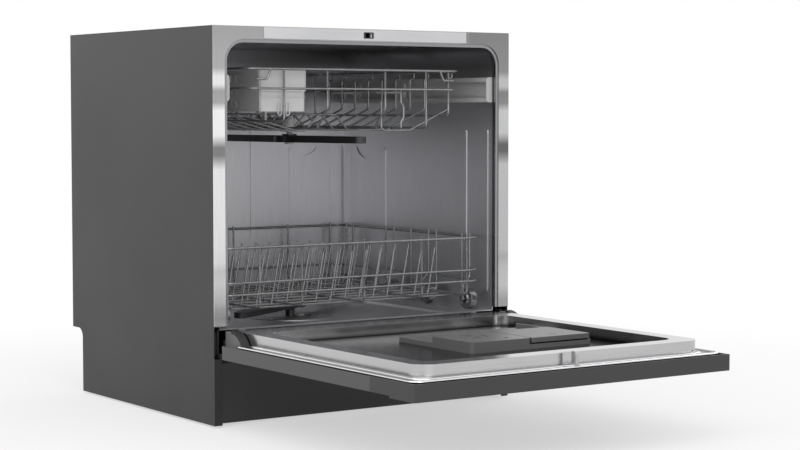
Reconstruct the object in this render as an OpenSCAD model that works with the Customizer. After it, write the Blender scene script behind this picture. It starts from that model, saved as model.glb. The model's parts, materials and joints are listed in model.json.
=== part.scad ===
// Benchtop dishwasher with a drop-down door, two roll-out wire racks and its works.
// Millimetres, +Z up. Sub-parts are drawn with the front frame at y = 0 and the door
// reaching towards -y; at_front() then centres the open machine on the origin.

/* [Cabinet] */
// Width over the side panels
body_w = 550; // [540:1:600]
// Depth from the front frame to the rear panel
body_d = 486; // [480:1:540]
// Height of the top panel above the worktop
body_h = 597; // [585:1:640]
// Thickness of the painted steel sheet
sheet_t = 1.2; // [0.8:0.1:1.5]
// Height of the feet below the base
foot_h = 3; // [2:0.5:6]
// Depth of the hose recess at the rear
notch_d = 37; // [30:1:40]
// Top of the hose recess above the worktop
notch_h = 108; // [98:1:109]
// Radius of the inside corner of the hose recess
notch_r = 15; // [8:1:20]
// Width of each front stile
stile_w = 20; // [18:0.5:24]
// Height of the header over the opening
header_h = 19.5; // [18:0.5:24]
// Corner radius of the opening
mouth_r = 33; // [20:1:45]
// Setback of the kick plate behind the front frame
kick_y = 17; // [17:0.5:24]

/* [Tub] */
// Thickness of the tub sheet
tub_t = 1.5; // [1:0.1:2]
// Height of the wheel tracks above the worktop
track_z = 145; // [142:0.5:150]
// Depth of the tub floor below the wheel tracks
floor_drop = 15; // [10:0.5:16]
// Width of each wheel track
track_w = 33; // [30:0.5:36]
// Space behind the tub for the riser pipe
rear_gap = 28; // [26:0.5:32]
// Height that the pressed panels stand out of the walls
rib_h = 1.6; // [1:0.1:2.5]
// Thickness of the door seal
seal_t = 5; // [3:0.5:6]

/* [Door] */
// Thickness of the outer door shell
door_t = 20.5; // [18:0.5:24]
// Distance from the front frame to the hinge pins
hinge_out = 25; // [24:0.5:28]
// Height of the hinge pins above the worktop
hinge_z = 107.5; // [105:0.5:110]
// Depth of the hinge pins inside the outer face of the door
hinge_in = 2.8; // [2.5:0.1:4]
// Radius of the hinge pins
pin_r = 2.5; // [2:0.1:3]
// Height that the liner stands above the shell
liner_h = 19.8; // [17:0.1:21]
// Width of the liner's raised rim, which carries the rack wheels
rim_w = 28; // [24:0.5:34]
// Depth of the liner's middle below its rim
recess_h = 17; // [12:0.5:18]
// Thickness of the liner sheet
liner_t = 1; // [0.8:0.1:1.5]
// Depth of the control fascia at the top of the door
fascia_d = 101.6; // [90:0.2:120]
// Wall of the control fascia
fascia_t = 2.5; // [2:0.1:3]

/* [Lower rack] */
// Gap between the rack's rim and the tub wall
low_side = 13.5; // [13:0.5:16]
// Height of the rim above the wheel tracks
low_rim = 119; // [100:1:130]
// Height of the middle rail above the wheel tracks
low_mid = 48; // [44:1:54]
// Height of the floor wires above the wheel tracks
low_floor = 22; // [21:0.5:26]
// Height of the tines above the floor wires
tine_h = 78; // [50:1:84]
// Pitch of the tines and floor wires across the rack
tine_pitch = 27.5; // [25:0.5:35]
// Radius of the rack wheels
wheel_r = 16.5; // [14:0.5:17]
// Width of the rack wheels
wheel_w = 13; // [10:0.5:14]
// Travel of the lower rack out over the door
low_travel = 422; // [380:1:422]

/* [Upper rack] */
// Gap between the rack's rim and the tub wall
up_side = 55; // [52:1:60]
// Depth of the rim below the top of the opening
up_drop = 42.5; // [38:0.5:50]
// Depth of the troughs below the rim
up_deep = 95; // [90:1:98]
// Travel of the upper rack
up_travel = 245; // [200:1:250]
// Height of the side rails
rail_h = 40; // [36:1:44]
// Width of the side rails
rail_w = 9; // [8:0.5:11]

/* [Wire] */
// Diameter of the rim wires
rim_d = 4; // [3.8:0.1:5.5]
// Diameter of the other rack wires
wire_d = 3.5; // [3:0.1:4]
// Inside gap left between racks and the closed door or the tub back
rack_gap = 8; // [6:0.5:10]

/* [Spray arms] */
// Half length of the lower spray arm
low_arm = 203; // [180:1:206]
// Half length of the upper spray arm
up_arm = 185; // [160:1:190]
// Width of a spray arm at its hub
arm_w = 44; // [36:1:50]
// Running clearance of the turning parts on their pins
run_gap = 0.06; // [0.02:0.01:0.1]
// Clearance of the sliding parts
slide_gap = 0.5; // [0.3:0.1:0.8]

/* [Hidden] */
$fn = 48;
half_w = body_w / 2;
mouth_x = half_w - stile_w;
mouth_top = body_h - header_h;
panel_x = half_w - sheet_t;
tub_floor = track_z - floor_drop;
tub_back = body_d - rear_gap;
tub_lip_y = kick_y;
pocket_top = track_z + 6;
pocket_low = hinge_z - 4.5;
flange_w = 13.5;
mid_y = tub_back / 2 + 6;

door_low = hinge_z - hinge_in;
door_high = door_low + door_t;
door_reach = hinge_out + body_h - hinge_z;
front_y = (door_reach - body_d) / 2;
// Depth by which welded wires run into each other
weld = 0.25;
// Hairline left between crossing wires that keep a solid each
hair = 0.05;
hinge_y = -hinge_out;
seam_y = -(door_reach - fascia_d);
shell_end = hinge_y + 3;
liner_top = door_high + liner_h;
liner_x = mouth_x - seal_t - 2;
liner_front = -(door_reach - header_h - seal_t - 2);
liner_back = hinge_y + 16;
shoulder_r = liner_top - hinge_z - 0.3;
shoulder_x = half_w - flange_w - 0.5;
shoulder_w = 11;
closed_face = hinge_y + liner_top - hinge_z;

rack_front = closed_face + 5 + rack_gap + rim_d;
low_x = mouth_x - low_side;
low_back = tub_back - rack_gap;
low_rim_z = track_z + low_rim;
low_mid_z = track_z + low_mid;
low_floor_z = track_z + low_floor;
axle_z = track_z + wheel_r + 0.3;
axle_r = 2;
upright_in = (wire_d + rim_d) / 2 - weld;
rail_in = upright_in - wire_d + weld;
wheel_x = low_x - 1.5;
hanger_x = wheel_x - wheel_w - 5.5;
wheel_y = [rack_front + 23, rack_front + 139.3, rack_front + 243, low_back - 26];
corner_r = 18;

up_x = mouth_x - up_side;
up_wall = up_x - 8;
up_back = tub_back - 18;
up_rim_z = mouth_top - up_drop;
up_mid_z = up_rim_z - 30;
up_bend_z = up_rim_z - 61.5;
up_low_z = up_rim_z - up_deep;
up_peak_z = up_low_z + 25;
rail_z = up_mid_z;

// ---------- shared shapes ----------
module at_front() translate([0, front_y, 0]) children();

// A box between two corners
module block(low, high) translate(low) cube(high - low);

// The same child on both sides of the machine
module both_sides() {
    children();
    mirror([1, 0, 0]) children();
}

// A profile drawn in y and z, extruded along x from x0 to x1
module along_x(x0, x1) translate([x0, 0, 0])
    rotate([90, 0, 90]) linear_extrude(x1 - x0) children();

// A profile drawn in x and z, extruded along y from y0 to y1
module along_y(y0, y1) translate([0, y1, 0])
    rotate([90, 0, 0]) linear_extrude(y1 - y0) children();

// A rectangle with round corners
module round_rect(low, high, r) {
    translate([low[0] + r, low[1]]) square([high[0] - low[0] - 2 * r, high[1] - low[1]]);
    translate([low[0], low[1] + r]) square([high[0] - low[0], high[1] - low[1] - 2 * r]);
    for (x = [low[0] + r, high[0] - r]) for (y = [low[1] + r, high[1] - r])
        translate([x, y]) circle(r);
}

// A rectangle with two round top corners
module arch(x, low, high, r) {
    translate([-x, low]) square([2 * x, high - r - low]);
    translate([r - x, low]) square([2 * x - 2 * r, high - low]);
    for (s = [-1, 1]) translate([s * (x - r), high - r]) circle(r);
}

function unit(v) = v / norm(v);

// A straight length of wire from a to b
module rod(a, b, d) {
    v = b - a;
    translate(a) rotate([0, acos(v[2] / norm(v)), atan2(v[1], v[0])])
        cylinder(d = d, h = norm(v));
}

// The length that a bend of radius r at p takes from each of its legs
function bend_cut(a, p, b, r) = r * tan(acos(unit(p - a) * unit(b - p)) / 2);

// The round bend at p between the legs from a and to b, a hair fatter than its legs,
// which run a little way into it
module bend(a, p, b, d, r) {
    u = unit(p - a);
    w = unit(b - p);
    turn = acos(u * w);
    axis = unit(cross(u, w));
    centre = p + unit(w - u) * r / cos(turn / 2);
    x = unit(p - u * bend_cut(a, p, b, r) - centre);
    y = cross(axis, x);
    multmatrix([[x[0], y[0], axis[0], centre[0]], [x[1], y[1], axis[1], centre[1]],
                [x[2], y[2], axis[2], centre[2]], [0, 0, 0, 1]])
        rotate_extrude(angle = turn) translate([r, 0]) circle(d = d + 0.05);
}

// A wire or pipe of diameter d through a list of corners, with bends of radius r
module bent(pts, d, r) {
    last = len(pts) - 1;
    for (i = [0:last - 1]) {
        u = unit(pts[i + 1] - pts[i]);
        start = i == 0 ? pts[0]
            : pts[i] + u * (bend_cut(pts[i - 1], pts[i], pts[i + 1], r) - weld);
        end = i == last - 1 ? pts[last]
            : pts[i + 1] - u * (bend_cut(pts[i], pts[i + 1], pts[i + 2], r) - weld);
        rod(start, end, d);
        if (i > 0) bend(pts[i - 1], pts[i], pts[i + 1], d, r);
    }
}

// ---------- cabinet ----------
paint = [0.30, 0.30, 0.31];
steel = [0.74, 0.74, 0.76];
black = [0.07, 0.07, 0.08];

// The side outline in y and z, with the hose recess at the rear
module side_outline(inset) difference() {
    translate([sheet_t, foot_h]) square([body_d - sheet_t, body_h - sheet_t - foot_h]);
    recess_outline(inset);
}

// The recess in y and z; inset moves its walls outwards by that much
module recess_outline(inset) {
    y0 = body_d - notch_d - inset;
    z1 = notch_h + inset;
    r = notch_r + inset;
    translate([y0, -1]) square([notch_d + inset + 1, z1 - r + 1]);
    translate([y0 + r, -1]) square([notch_d + inset + 1 - r, z1 + 1]);
    translate([y0 + r, z1 - r]) circle(r);
}

// One side panel: a sheet with a folded front flange below the hinge pocket
module side_panel() {
    along_x(panel_x, half_w) side_outline(0);
    block([half_w - flange_w, 0, foot_h], [half_w, sheet_t, pocket_low]);
}

module left_side_panel() color(paint) at_front() mirror([1, 0, 0]) side_panel();
module right_side_panel() color(paint) at_front() side_panel();

module top_panel() color(paint) at_front()
    block([-half_w, sheet_t, body_h - sheet_t], [half_w, body_d, body_h]);

// The rear sheet, folded forwards and down round the hose recess
module rear_panel() color(paint) at_front() difference() {
    along_x(-panel_x, panel_x) {
        translate([body_d - sheet_t, notch_h])
            square([sheet_t, body_h - sheet_t - notch_h]);
        difference() {
            intersection() {
                recess_outline(sheet_t);
                translate([0, foot_h]) square([body_d, body_h]);
            }
            recess_outline(0);
        }
    }
    // the holes of the hose tails and the cable gland
    for (h = [[drain_x, drain_pipe_r], [valve_x, valve_neck_r], [gland_x, gland_neck_r]])
        translate([h[0], base_back - 1, spigot_z]) rotate([-90, 0, 0])
            cylinder(r = h[1] + 0.3, h = sheet_t + 2);
}

// The moulded tray under the works, ribbed, with the pump seats
base_top = foot_h + 22;
base_back = body_d - notch_d - sheet_t;
module base_pan() color(black) at_front() {
    difference() {
        block([-panel_x, kick_y + sheet_t, foot_h], [panel_x, base_back, base_top]);
        block([-panel_x + 3, kick_y + sheet_t + 3, foot_h + 3],
              [panel_x - 3, base_back - 3, base_top + 1]);
    }
    for (x = [-200:100:200])
        block([x - 1.5, kick_y + sheet_t + 2, foot_h + 2], [x + 1.5, base_back - 2, foot_h + 12]);
    for (y = [120, 320])
        block([-panel_x + 2, y - 1.5, foot_h + 2], [panel_x - 2, y + 1.5, foot_h + 12]);
    pump_seat();
    translate([float_x, float_y, foot_h + 2]) cylinder(r = 3, h = 34);
}

module kick_plate() color(paint) at_front()
    block([-panel_x, kick_y, foot_h + 4], [panel_x, kick_y + sheet_t, pocket_low - 9]);

// The polished portal round the opening
module front_frame() color(steel) at_front() difference() {
    along_y(0, sheet_t) difference() {
        translate([-half_w, pocket_top]) square([body_w, body_h - pocket_top]);
        arch(mouth_x, pocket_top - 1, mouth_top, mouth_r);
    }
    latch_slot();
}

// The slot in the header that the door's hook enters
slot_x = 6.5;
slot_z = mouth_top + 9.8;
module latch_slot() block([-slot_x, -5, slot_z - 3.8], [slot_x, 26, slot_z + 3.8]);

trim_x = mouth_x - 67;
module top_trim_strip() color([0.85, 0.85, 0.86]) at_front() difference() {
    along_y(-1, 0) round_rect([-trim_x, mouth_top + 1.5], [trim_x, body_h - 1], 1.5);
    latch_slot();
}

module latch_housing() color(black) at_front() {
    difference() {
        block([-14, sheet_t, mouth_top + tub_t + 0.3], [14, 32, body_h - sheet_t]);
        latch_slot();
    }
    along_y(16, 26) translate([1.5, slot_z]) circle(2.4);
}

// ---------- tub ----------
// The tub's section in x and z, grown by t all round
module tub_section(t) {
    arch(mouth_x + t, track_z - t, mouth_top + t, mouth_r + t);
    round_rect([-mouth_x + track_w - t, tub_floor - t],
               [mouth_x - track_w + t, track_z + 20], 8 + t);
}

// A raised panel in a wall, drawn in its plane from low to high, with a scalloped top
// where dip is more than 0
module panel_shape(low, high, dip) difference() {
    round_rect(low, high, 6);
    if (dip > 0) translate([(low[0] + high[0]) / 2, high[1] + dip * 0.8]) circle(dip * 1.8);
}

panel_low = track_z + 28;
panel_high = rail_z - rail_h / 2 - 44;
scallop_high = panel_high - 35;
// Each panel's two edges and its scallop: from the front on the side walls, and from the
// middle on the back wall
side_panels = [[29, 49, 0], [87, 207, 0], [tub_back - 132, tub_back - 11, 20]];
back_panels = [[55, 72, 0], [135, 204, 14], [220, 236, 0]];
sump_y = mid_y;
sump_r = 66;
module tub() color(steel) at_front() {
    difference() {
        along_y(sheet_t, tub_back + tub_t) tub_section(tub_t);
        along_y(0, tub_back) tub_section(0);
        // the corner that the door's hinge end swings through
        block([-half_w, -1, 0], [half_w, tub_lip_y, pocket_top]);
        translate([0, sump_y, tub_floor - 10]) cylinder(r = sump_r, h = 20);
        // the port of the upper spray feed
        translate([0, tub_back - 1, feed_z]) rotate([-90, 0, 0]) cylinder(d = feed_d, h = 5);
    }
    // the front lip of the floor
    block([-mouth_x + track_w, tub_lip_y, tub_floor],
          [mouth_x - track_w, tub_lip_y + tub_t, track_z]);
    // raised panels in the side walls and the back wall
    both_sides() for (p = side_panels) along_x(mouth_x - rib_h, mouth_x + 0.2)
        panel_shape([p[0], panel_low], [p[1], p[2] > 0 ? scallop_high : panel_high], p[2]);
    both_sides() for (p = back_panels) along_y(tub_back - rib_h, tub_back + 0.2)
        panel_shape([p[0], panel_low], [p[1], p[2] > 0 ? scallop_high : panel_high], p[2]);
}

// The seal lines the opening behind the frame, with a second strip on the sill
module door_seal() color(black) at_front() {
    along_y(sheet_t + 1, sheet_t + 10) difference() {
        arch(mouth_x, pocket_top, mouth_top, mouth_r);
        arch(mouth_x - seal_t, pocket_top - 1, mouth_top - seal_t, mouth_r - seal_t);
    }
    // the lower lip, under the sill of the tub
    block([-mouth_x + track_w + 10, tub_lip_y - 2, tub_floor + 2],
          [mouth_x - track_w - 10, tub_lip_y, track_z - 2]);
}

// ---------- rails and feet ----------
module feet() color(black) at_front()
    for (x = [-1, 1]) for (y = [kick_y + 32, base_back - 22])
        translate([x * (panel_x - 30), y, 0]) cylinder(r = 14, h = foot_h);

rail_front = closed_face + 3;
rail_back = tub_back - 6;
module rail() {
    x0 = mouth_x - rail_w;
    z0 = rail_z - rail_h / 2;
    z1 = rail_z + rail_h / 2;
    difference() {
        block([x0, rail_front, z0], [mouth_x, rail_back, z1]);
        block([x0 + 1.2, rail_front - 1, z0 + 1.2], [mouth_x - 1.2, rail_back + 1, z1 - 1.2]);
        block([x0 - 1, rail_front - 1, z0 + 7], [x0 + 2, rail_back + 1, z1 - 7]);
    }
    // the moulded stop at the front end
    along_y(rail_front - 2, rail_front) round_rect([x0, z0], [mouth_x, z1], 4);
}
module upper_rack_rails() color([0.72, 0.72, 0.73]) at_front() both_sides() rail();

// ---------- hinge ----------
bracket_x = shoulder_x + 3;
module hinge_brackets() color([0.35, 0.35, 0.36]) at_front() both_sides() difference() {
    union() {
        along_x(bracket_x, bracket_x + 2.5) {
            translate([hinge_y, hinge_z]) circle(3.6);
            translate([hinge_y, hinge_z - 3.6]) square([hinge_out + 12, 7.2]);
            translate([6, hinge_z - 3.6]) square([30, 42]);
        }
        block([bracket_x + 2.5, 10, hinge_z], [panel_x, 34, hinge_z + 34]);
    }
    translate([0, hinge_y, hinge_z]) rotate([0, 90, 0]) cylinder(r = pin_r + run_gap, h = half_w);
}

// The steel arm and its pin, fixed in the door
module hinge_arms() color([0.55, 0.55, 0.56]) at_front() both_sides() {
    along_x(shoulder_x, bracket_x - 0.3) {
        translate([hinge_y, hinge_z]) circle(4);
        translate([hinge_y - 70, door_low + sheet_t]) square([70, 10]);
    }
    translate([bracket_x - 1, hinge_y, hinge_z]) rotate([0, 90, 0]) cylinder(r = pin_r, h = 4.6);
}

// The moulded quarter-round covers over the hinge ends of the door
module hinge_shoulders() color([0.50, 0.50, 0.51]) at_front() both_sides()
    along_x(shoulder_x - shoulder_w, shoulder_x) {
        intersection() {
            translate([hinge_y, hinge_z]) circle(shoulder_r);
            translate([hinge_y - shoulder_r, hinge_z]) square([shoulder_r, shoulder_r]);
        }
        translate([hinge_y, hinge_z]) square([17, shoulder_r]);
    }

// ---------- door ----------
// The clearance round the hinge arms in the door's shell and liner
module hinge_clear() both_sides()
    block([shoulder_x - shoulder_w - 1, hinge_y - 11, door_low - 1], [panel_x - 1, 1, door_high]);

module door_panel() color(paint) at_front() difference() {
    block([-half_w + 0.5, seam_y, door_low], [half_w - 0.5, shell_end, door_high]);
    block([-half_w + 0.5 + sheet_t, seam_y - 1, door_low + sheet_t],
          [half_w - 0.5 - sheet_t, shell_end + 1, door_high + 1]);
    hinge_clear();
}

// The moulded control fascia that forms the top of the closed door
lip_d = 58;
lip_h = 3;
key_y = -door_reach + lip_d + 19;
key_r = 7;
key_travel = 1.5;
board_low = 8;
key_x = [40, 66, 92];
window_low = [-70, key_y - 10];
window_high = [14, key_y + 10];
module control_fascia() color([0.22, 0.22, 0.225]) at_front() difference() {
    // the last part is thicker, as a grip for the hand
    along_x(-half_w + 0.5, half_w - 0.5) polygon([
        [-door_reach, door_high], [-door_reach, door_low - lip_h],
        [-door_reach + lip_d - 2, door_low - lip_h], [-door_reach + lip_d, door_low],
        [seam_y - 0.2, door_low], [seam_y - 0.2, door_high]]);
    block([-half_w + 0.5 + fascia_t, -door_reach + fascia_t, door_low + fascia_t],
          [half_w - 0.5 - fascia_t, seam_y + 1, door_high + 1]);
    for (x = key_x) translate([x, key_y, door_low - 1]) cylinder(r = key_r + 0.3, h = 9);
    translate([0, 0, door_low - 1]) linear_extrude(9) round_rect(window_low, window_high, 3);
}

module display_window() color(black) at_front()
    translate([0, 0, door_low + 0.3]) linear_extrude(fascia_t) round_rect(window_low, window_high, 3);

module control_board() color([0.10, 0.30, 0.16]) at_front() {
    z = door_low + board_low;
    block([-95, key_y - 24, z], [115, key_y + 24, z + 1.6]);
    for (x = [-88, 108]) for (y = [-18, 18])
        translate([x, key_y + y, door_low + fascia_t]) cylinder(r = 3, h = board_low - fascia_t);
    for (x = key_x) block([x - 3, key_y - 3, z - 0.4], [x + 3, key_y + 3, z]);
    block([-60, key_y - 8, door_low + fascia_t + 0.3], [4, key_y + 8, z]);
    block([50, key_y + 10, z + 1.6], [70, key_y + 22, z + 7]);
}

// A sprung key in the fascia
module key(i) color([0.62, 0.62, 0.64]) at_front() translate([key_x[i], key_y, 0]) {
    translate([0, 0, door_low - 0.5]) cylinder(r = key_r, h = fascia_t + 1.4);
    translate([0, 0, door_low + fascia_t + 0.2]) cylinder(r = key_r + 1.5, h = 0.9);
    translate([0, 0, door_low + fascia_t + 1]) cylinder(r = 2, h = board_low - key_travel - 1.7 - fascia_t);
}
module power_key() key(0);
module program_key() key(1);
module start_key() key(2);

// The stainless inner liner: a flange, a raised rim and a sunk middle
flange_x = half_w - 5;
flange_front = -door_reach + 7;
flange_back = hinge_y - 7;
notch_x = 11;
notch_in = 4;
rim_r = mouth_r - seal_t - 1;
module rim_outline(inset) difference() {
    round_rect([-liner_x + inset, liner_front + inset], [liner_x - inset, liner_back - inset],
               rim_r - inset);
    translate([-notch_x - inset, liner_front - 1])
        square([2 * (notch_x + inset), 1 + notch_in + inset]);
}
module recess_plan(grow) round_rect([-liner_x + rim_w - grow, liner_front + rim_w - grow],
                                    [liner_x - rim_w + grow, -58 + grow], 22);
recess_z = liner_top - recess_h;
module door_liner() color(steel) at_front() difference() {
    union() {
        translate([0, 0, door_high]) linear_extrude(liner_t)
            round_rect([-flange_x, flange_front], [flange_x, flange_back], 20);
        translate([0, 0, door_high]) linear_extrude(liner_h) rim_outline(0);
    }
    // the hollow under the raised rim
    translate([0, 0, door_high - 1]) linear_extrude(1 + liner_h - liner_t) difference() {
        rim_outline(liner_t);
        recess_plan(liner_t);
    }
    // the space under the sunk middle
    translate([0, 0, door_high - 1]) linear_extrude(1 + liner_h - recess_h - liner_t)
        recess_plan(liner_t + 0.01);
    translate([0, 0, recess_z]) linear_extrude(recess_h + 1) recess_plan(0);
    // the hole that the dispenser sinks through
    translate([0, 0, recess_z - liner_t - 1]) linear_extrude(liner_t + 2) disp_well(0.3);
    hinge_clear();
    both_sides() along_x(shoulder_x - shoulder_w - 0.8, half_w)
        translate([hinge_y, hinge_z]) circle(shoulder_r + 3.5);
}

hook_y = hinge_y - (slot_z - hinge_z);
module latch_hook() color([0.6, 0.6, 0.61]) at_front() {
    block([-5, hook_y - 2, door_high + liner_t], [5, hook_y + 2, door_high + liner_t + 2]);
    block([-3, hook_y - 1, door_high + liner_t], [3, hook_y + 1, door_high + 19]);
    block([-3, hook_y - 1, door_high + 15], [3, hook_y + 2.4, door_high + 19]);
}

// ---------- detergent and rinse-aid dispenser ----------
disp_low = [-42, -324];
disp_high = [180, -224];
disp_top = liner_top - 1;
disp_base = recess_z + 6.5;
disp_sunk = door_low + sheet_t + 3;
disp_split = 66;
lid_low = [disp_split + 2, disp_low[1]];
lid_high = [disp_high[0] - 4, disp_high[1]];
lid_travel = 84;
cap_at = [6, -262];
cap_r = 19;
// The part that sinks through the liner into the door, grown by that much
module disp_well(grow) round_rect([disp_low[0] + 8 - grow, disp_low[1] + 8 - grow],
                                  [disp_high[0] - 8 + grow, disp_high[1] - 8 + grow], 5);
module dispenser_body() color([0.46, 0.46, 0.48]) at_front() difference() {
    union() {
        translate([0, 0, disp_sunk]) linear_extrude(recess_z - disp_sunk + 1) disp_well(0);
        // the low plate that the lid slides on, and the raised rinse-aid part beside it
        translate([0, 0, recess_z]) linear_extrude(disp_base - recess_z)
            round_rect(disp_low, [disp_high[0], disp_high[1] + lid_travel], 6);
        translate([0, 0, recess_z]) linear_extrude(disp_top - recess_z)
            round_rect(disp_low, [disp_split, disp_high[1]], 6);
        block([disp_high[0] - 3, disp_low[1] + 6, recess_z], [disp_high[0], disp_high[1] + lid_travel - 6, disp_top - 2]);
    }
    // the detergent cup under the lid
    translate([0, 0, disp_sunk + 3]) linear_extrude(recess_h + 12)
        round_rect([lid_low[0] + 8, lid_low[1] + 14], [lid_high[0] - 12, lid_high[1] - 14], 9);
    // the seat of the rinse-aid cap, with a groove round it
    translate([cap_at[0], cap_at[1], disp_top - 5]) cylinder(r = cap_r + 0.3, h = 10);
    translate([cap_at[0], cap_at[1], disp_top - 0.8]) cylinder(r = cap_r + 4, h = 2);
}

// The thick lid slides back off the cup on two runners, over the low plate
module dispenser_lid() color([0.42, 0.42, 0.44]) at_front() {
    difference() {
        translate([0, 0, disp_base + 2.2]) linear_extrude(disp_top - disp_base - 2.2)
            round_rect(lid_low, lid_high, 3);
        translate([0, 0, disp_base + 1]) linear_extrude(disp_top - disp_base - 3)
            round_rect([lid_low[0] + 2, lid_low[1] + 2], [lid_high[0] - 2, lid_high[1] - 2], 2);
        // the finger hollow
        translate([(lid_low[0] + lid_high[0]) / 2, lid_low[1] + 22, disp_top + 27]) sphere(r = 28.2);
    }
    for (x = [lid_low[0] + 1.5, lid_high[0] - 3.5])
        block([x, lid_low[1] + 8, disp_base + 0.3], [x + 2, lid_high[1] - 8, disp_top - 1.5]);
}

module rinse_aid_cap() color([0.55, 0.55, 0.57]) at_front()
    translate([cap_at[0], cap_at[1], disp_top - 4.7]) difference() {
        cylinder(r = cap_r, h = 4.5);
        // finger hollows either side of the grip bar
        for (s = [-1, 1]) translate([0, s * 10.5, 1.6]) cylinder(r = 6.5, h = 4);
    }

// ---------- lower rack ----------
// The floor wires that go on up as side uprights, and the ones between them
low_d = low_back - rack_front;
low_tall = [for (k = [0.114, 0.287, 0.465, 0.646, 0.895]) rack_front + k * low_d];
low_short = [for (k = [0.195, 0.376, 0.554, 0.728, 0.811]) rack_front + k * low_d];
tine_rows = [low_short[0], low_short[1], low_tall[3], low_short[4]];

// The end stretch of a loop of wire, with a round corner at each side
module rim_end(x, y, inward, z, d) {
    bent([[-x, y + inward, z], [-x, y, z], [x, y, z], [x, y + inward, z]], d, corner_r - 1);
}

module low_end(y, way) {
    rim_end(low_x, y, way * corner_r, low_rim_z, rim_d);
    rim_end(low_x - rail_in, y + way * rail_in, way * (corner_r - rail_in), low_mid_z, wire_d);
    for (x = low_end_x)
        bent([[x, y + way * upright_in, low_rim_z + 5], [x, y + way * upright_in, low_long_z],
              [x, y + way * low_leg, low_long_z]], wire_d, 8);
}
low_end_x = [for (k = [-0.733, -0.42, 0.058, 0.518, 0.89]) k * low_x];
low_edge_x = low_end_x[4];
low_long_z = low_floor_z + wire_d - weld / 2;
low_leg = 24;
module lower_rack_front() color(steel) at_front() {
    low_end(rack_front, 1);
    // a second rail above the middle one, on the front alone
    rim_end(low_x - rail_in, rack_front + rail_in, wheel_y[0] + 6 - rack_front, low_mid_z + 18, wire_d);
}
module lower_rack_back() color(steel) at_front() low_end(low_back, -1);

// One side: rim, middle rail, uprights that turn under as floor wires, and wheel hangers
module low_side_grid() {
    rod([low_x, rack_front + corner_r, low_rim_z], [low_x, low_back - corner_r, low_rim_z], rim_d);
    rod([low_x - rail_in, rack_front + corner_r, low_mid_z],
        [low_x - rail_in, low_back - corner_r, low_mid_z], wire_d);
    up_at = low_x - upright_in;
    for (y = low_tall)
        bent([[up_at, y, low_rim_z + 5], [up_at, y, low_floor_z], [up_at - 14, y, low_floor_z]],
             wire_d, 8);
    for (y = wheel_y) {
        bent([[up_at, y + 4, low_rim_z + 5], [up_at, y + 4, low_mid_z + 3],
              [hanger_x, y, low_mid_z - 9], [hanger_x, y, axle_z - axle_r]], wire_d, 6);
        translate([hanger_x - 1, y, axle_z]) rotate([0, 90, 0])
            cylinder(r = axle_r, h = wheel_x - hanger_x + 1.9);
        translate([wheel_x + 0.3, y, axle_z]) rotate([0, 90, 0]) cylinder(r = axle_r + 1.4, h = 1);
    }
}
module lower_rack_left() color(steel) at_front() mirror([1, 0, 0]) low_side_grid();
module lower_rack_right() color(steel) at_front() low_side_grid();

floor_x = low_x - upright_in - 14;
module lower_rack_floor() color(steel) at_front() {
    for (y = low_tall) rod([-floor_x, y, low_floor_z], [floor_x, y, low_floor_z], wire_d);
    for (y = low_short)
        rod([-low_edge_x - 2, y, low_floor_z], [low_edge_x + 2, y, low_floor_z], wire_d);
    for (x = concat([-low_edge_x], low_end_x))
        rod([x, rack_front + low_leg, low_long_z], [x, low_back - low_leg, low_long_z], wire_d);
}

// The tines: two banks of slightly leaning pegs that hold plates on edge
module lower_rack_tines() color(steel) at_front()
    for (x = [-7:7]) for (y = tine_rows) {
        foot = [x * tine_pitch + tine_shift, y, low_floor_z];
        rod(foot, foot + [tine_lean, 0, tine_h], wire_d - 0.7);
    }
tine_shift = 0;
tine_lean = 15;

// A rack wheel on the +x side: tyre, pierced web and hub on a stub axle
module wheel(y, side) color([0.62, 0.62, 0.64]) at_front() translate([0, y, axle_z])
    mirror([side < 0 ? 1 : 0, 0, 0]) translate([wheel_x - wheel_w, 0, 0]) rotate([0, 90, 0])
    difference() {
        rotate_extrude() difference() {
            union() {
                translate([wheel_r - 3, 0]) square([3, wheel_w - 2]);
                translate([0, 3]) square([wheel_r - 1.5, 3]);
                square([5, wheel_w]);
                translate([wheel_r - 4.2, 1]) square([3, wheel_w - 1]);
            }
            translate([-1, -1]) square([1 + axle_r + run_gap, wheel_w + 2]);
        }
        for (i = [0:7]) rotate(i * 45) translate([8.6, 0, 0]) cylinder(r = 2.2, h = wheel_w);
    }
module lower_wheel_1() wheel(wheel_y[0], -1);
module lower_wheel_2() wheel(wheel_y[1], -1);
module lower_wheel_3() wheel(wheel_y[2], -1);
module lower_wheel_4() wheel(wheel_y[3], -1);
module lower_wheel_5() wheel(wheel_y[0], 1);
module lower_wheel_6() wheel(wheel_y[1], 1);
module lower_wheel_7() wheel(wheel_y[2], 1);
module lower_wheel_8() wheel(wheel_y[3], 1);

// ---------- upper rack ----------
// The waved wires across the rack, and the shorter one at the right front
up_pitch = 41.8;
up_wires = [for (i = [0:7]) up_back - 27 - i * up_pitch];
up_short = rack_front + 25.5;
peak_x = 15;
trough_in = 40;
up_long = [trough_in + 14, up_wall - 59, up_wall - 15];
up_end_x = concat(-up_long, up_long);
// The left trough is narrow, with a long slope for the basket, and the right one wide
function trough_out(x) = x < 0 ? 60 : 116;
function in_trough(x) = abs(x) < trough_out(x);
// The inner uprights slope back before they join the floor
slope_run = 31;
function up_leg(x) = in_trough(x) ? slope_run + 15 : 15;

// Height of the waved floor at x
function wave(x) = let (a = abs(x), out = trough_out(x))
    a < peak_x ? up_peak_z
    : a < trough_in ? up_peak_z + (up_low_z - up_peak_z) * (a - peak_x) / (trough_in - peak_x)
    : a < out ? up_low_z
    : up_low_z + (up_bend_z - up_low_z) * (a - out) / (up_wall - out);

// Height of a wire that runs along the waved floor at x, on it or, outside the trough, under it
function long_z(x) = let (run = up_wall - trough_out(x))
    wave(x) + (wire_d + hair) * (in_trough(x) ? 1 : -norm([run, up_bend_z - up_low_z]) / run);

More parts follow.
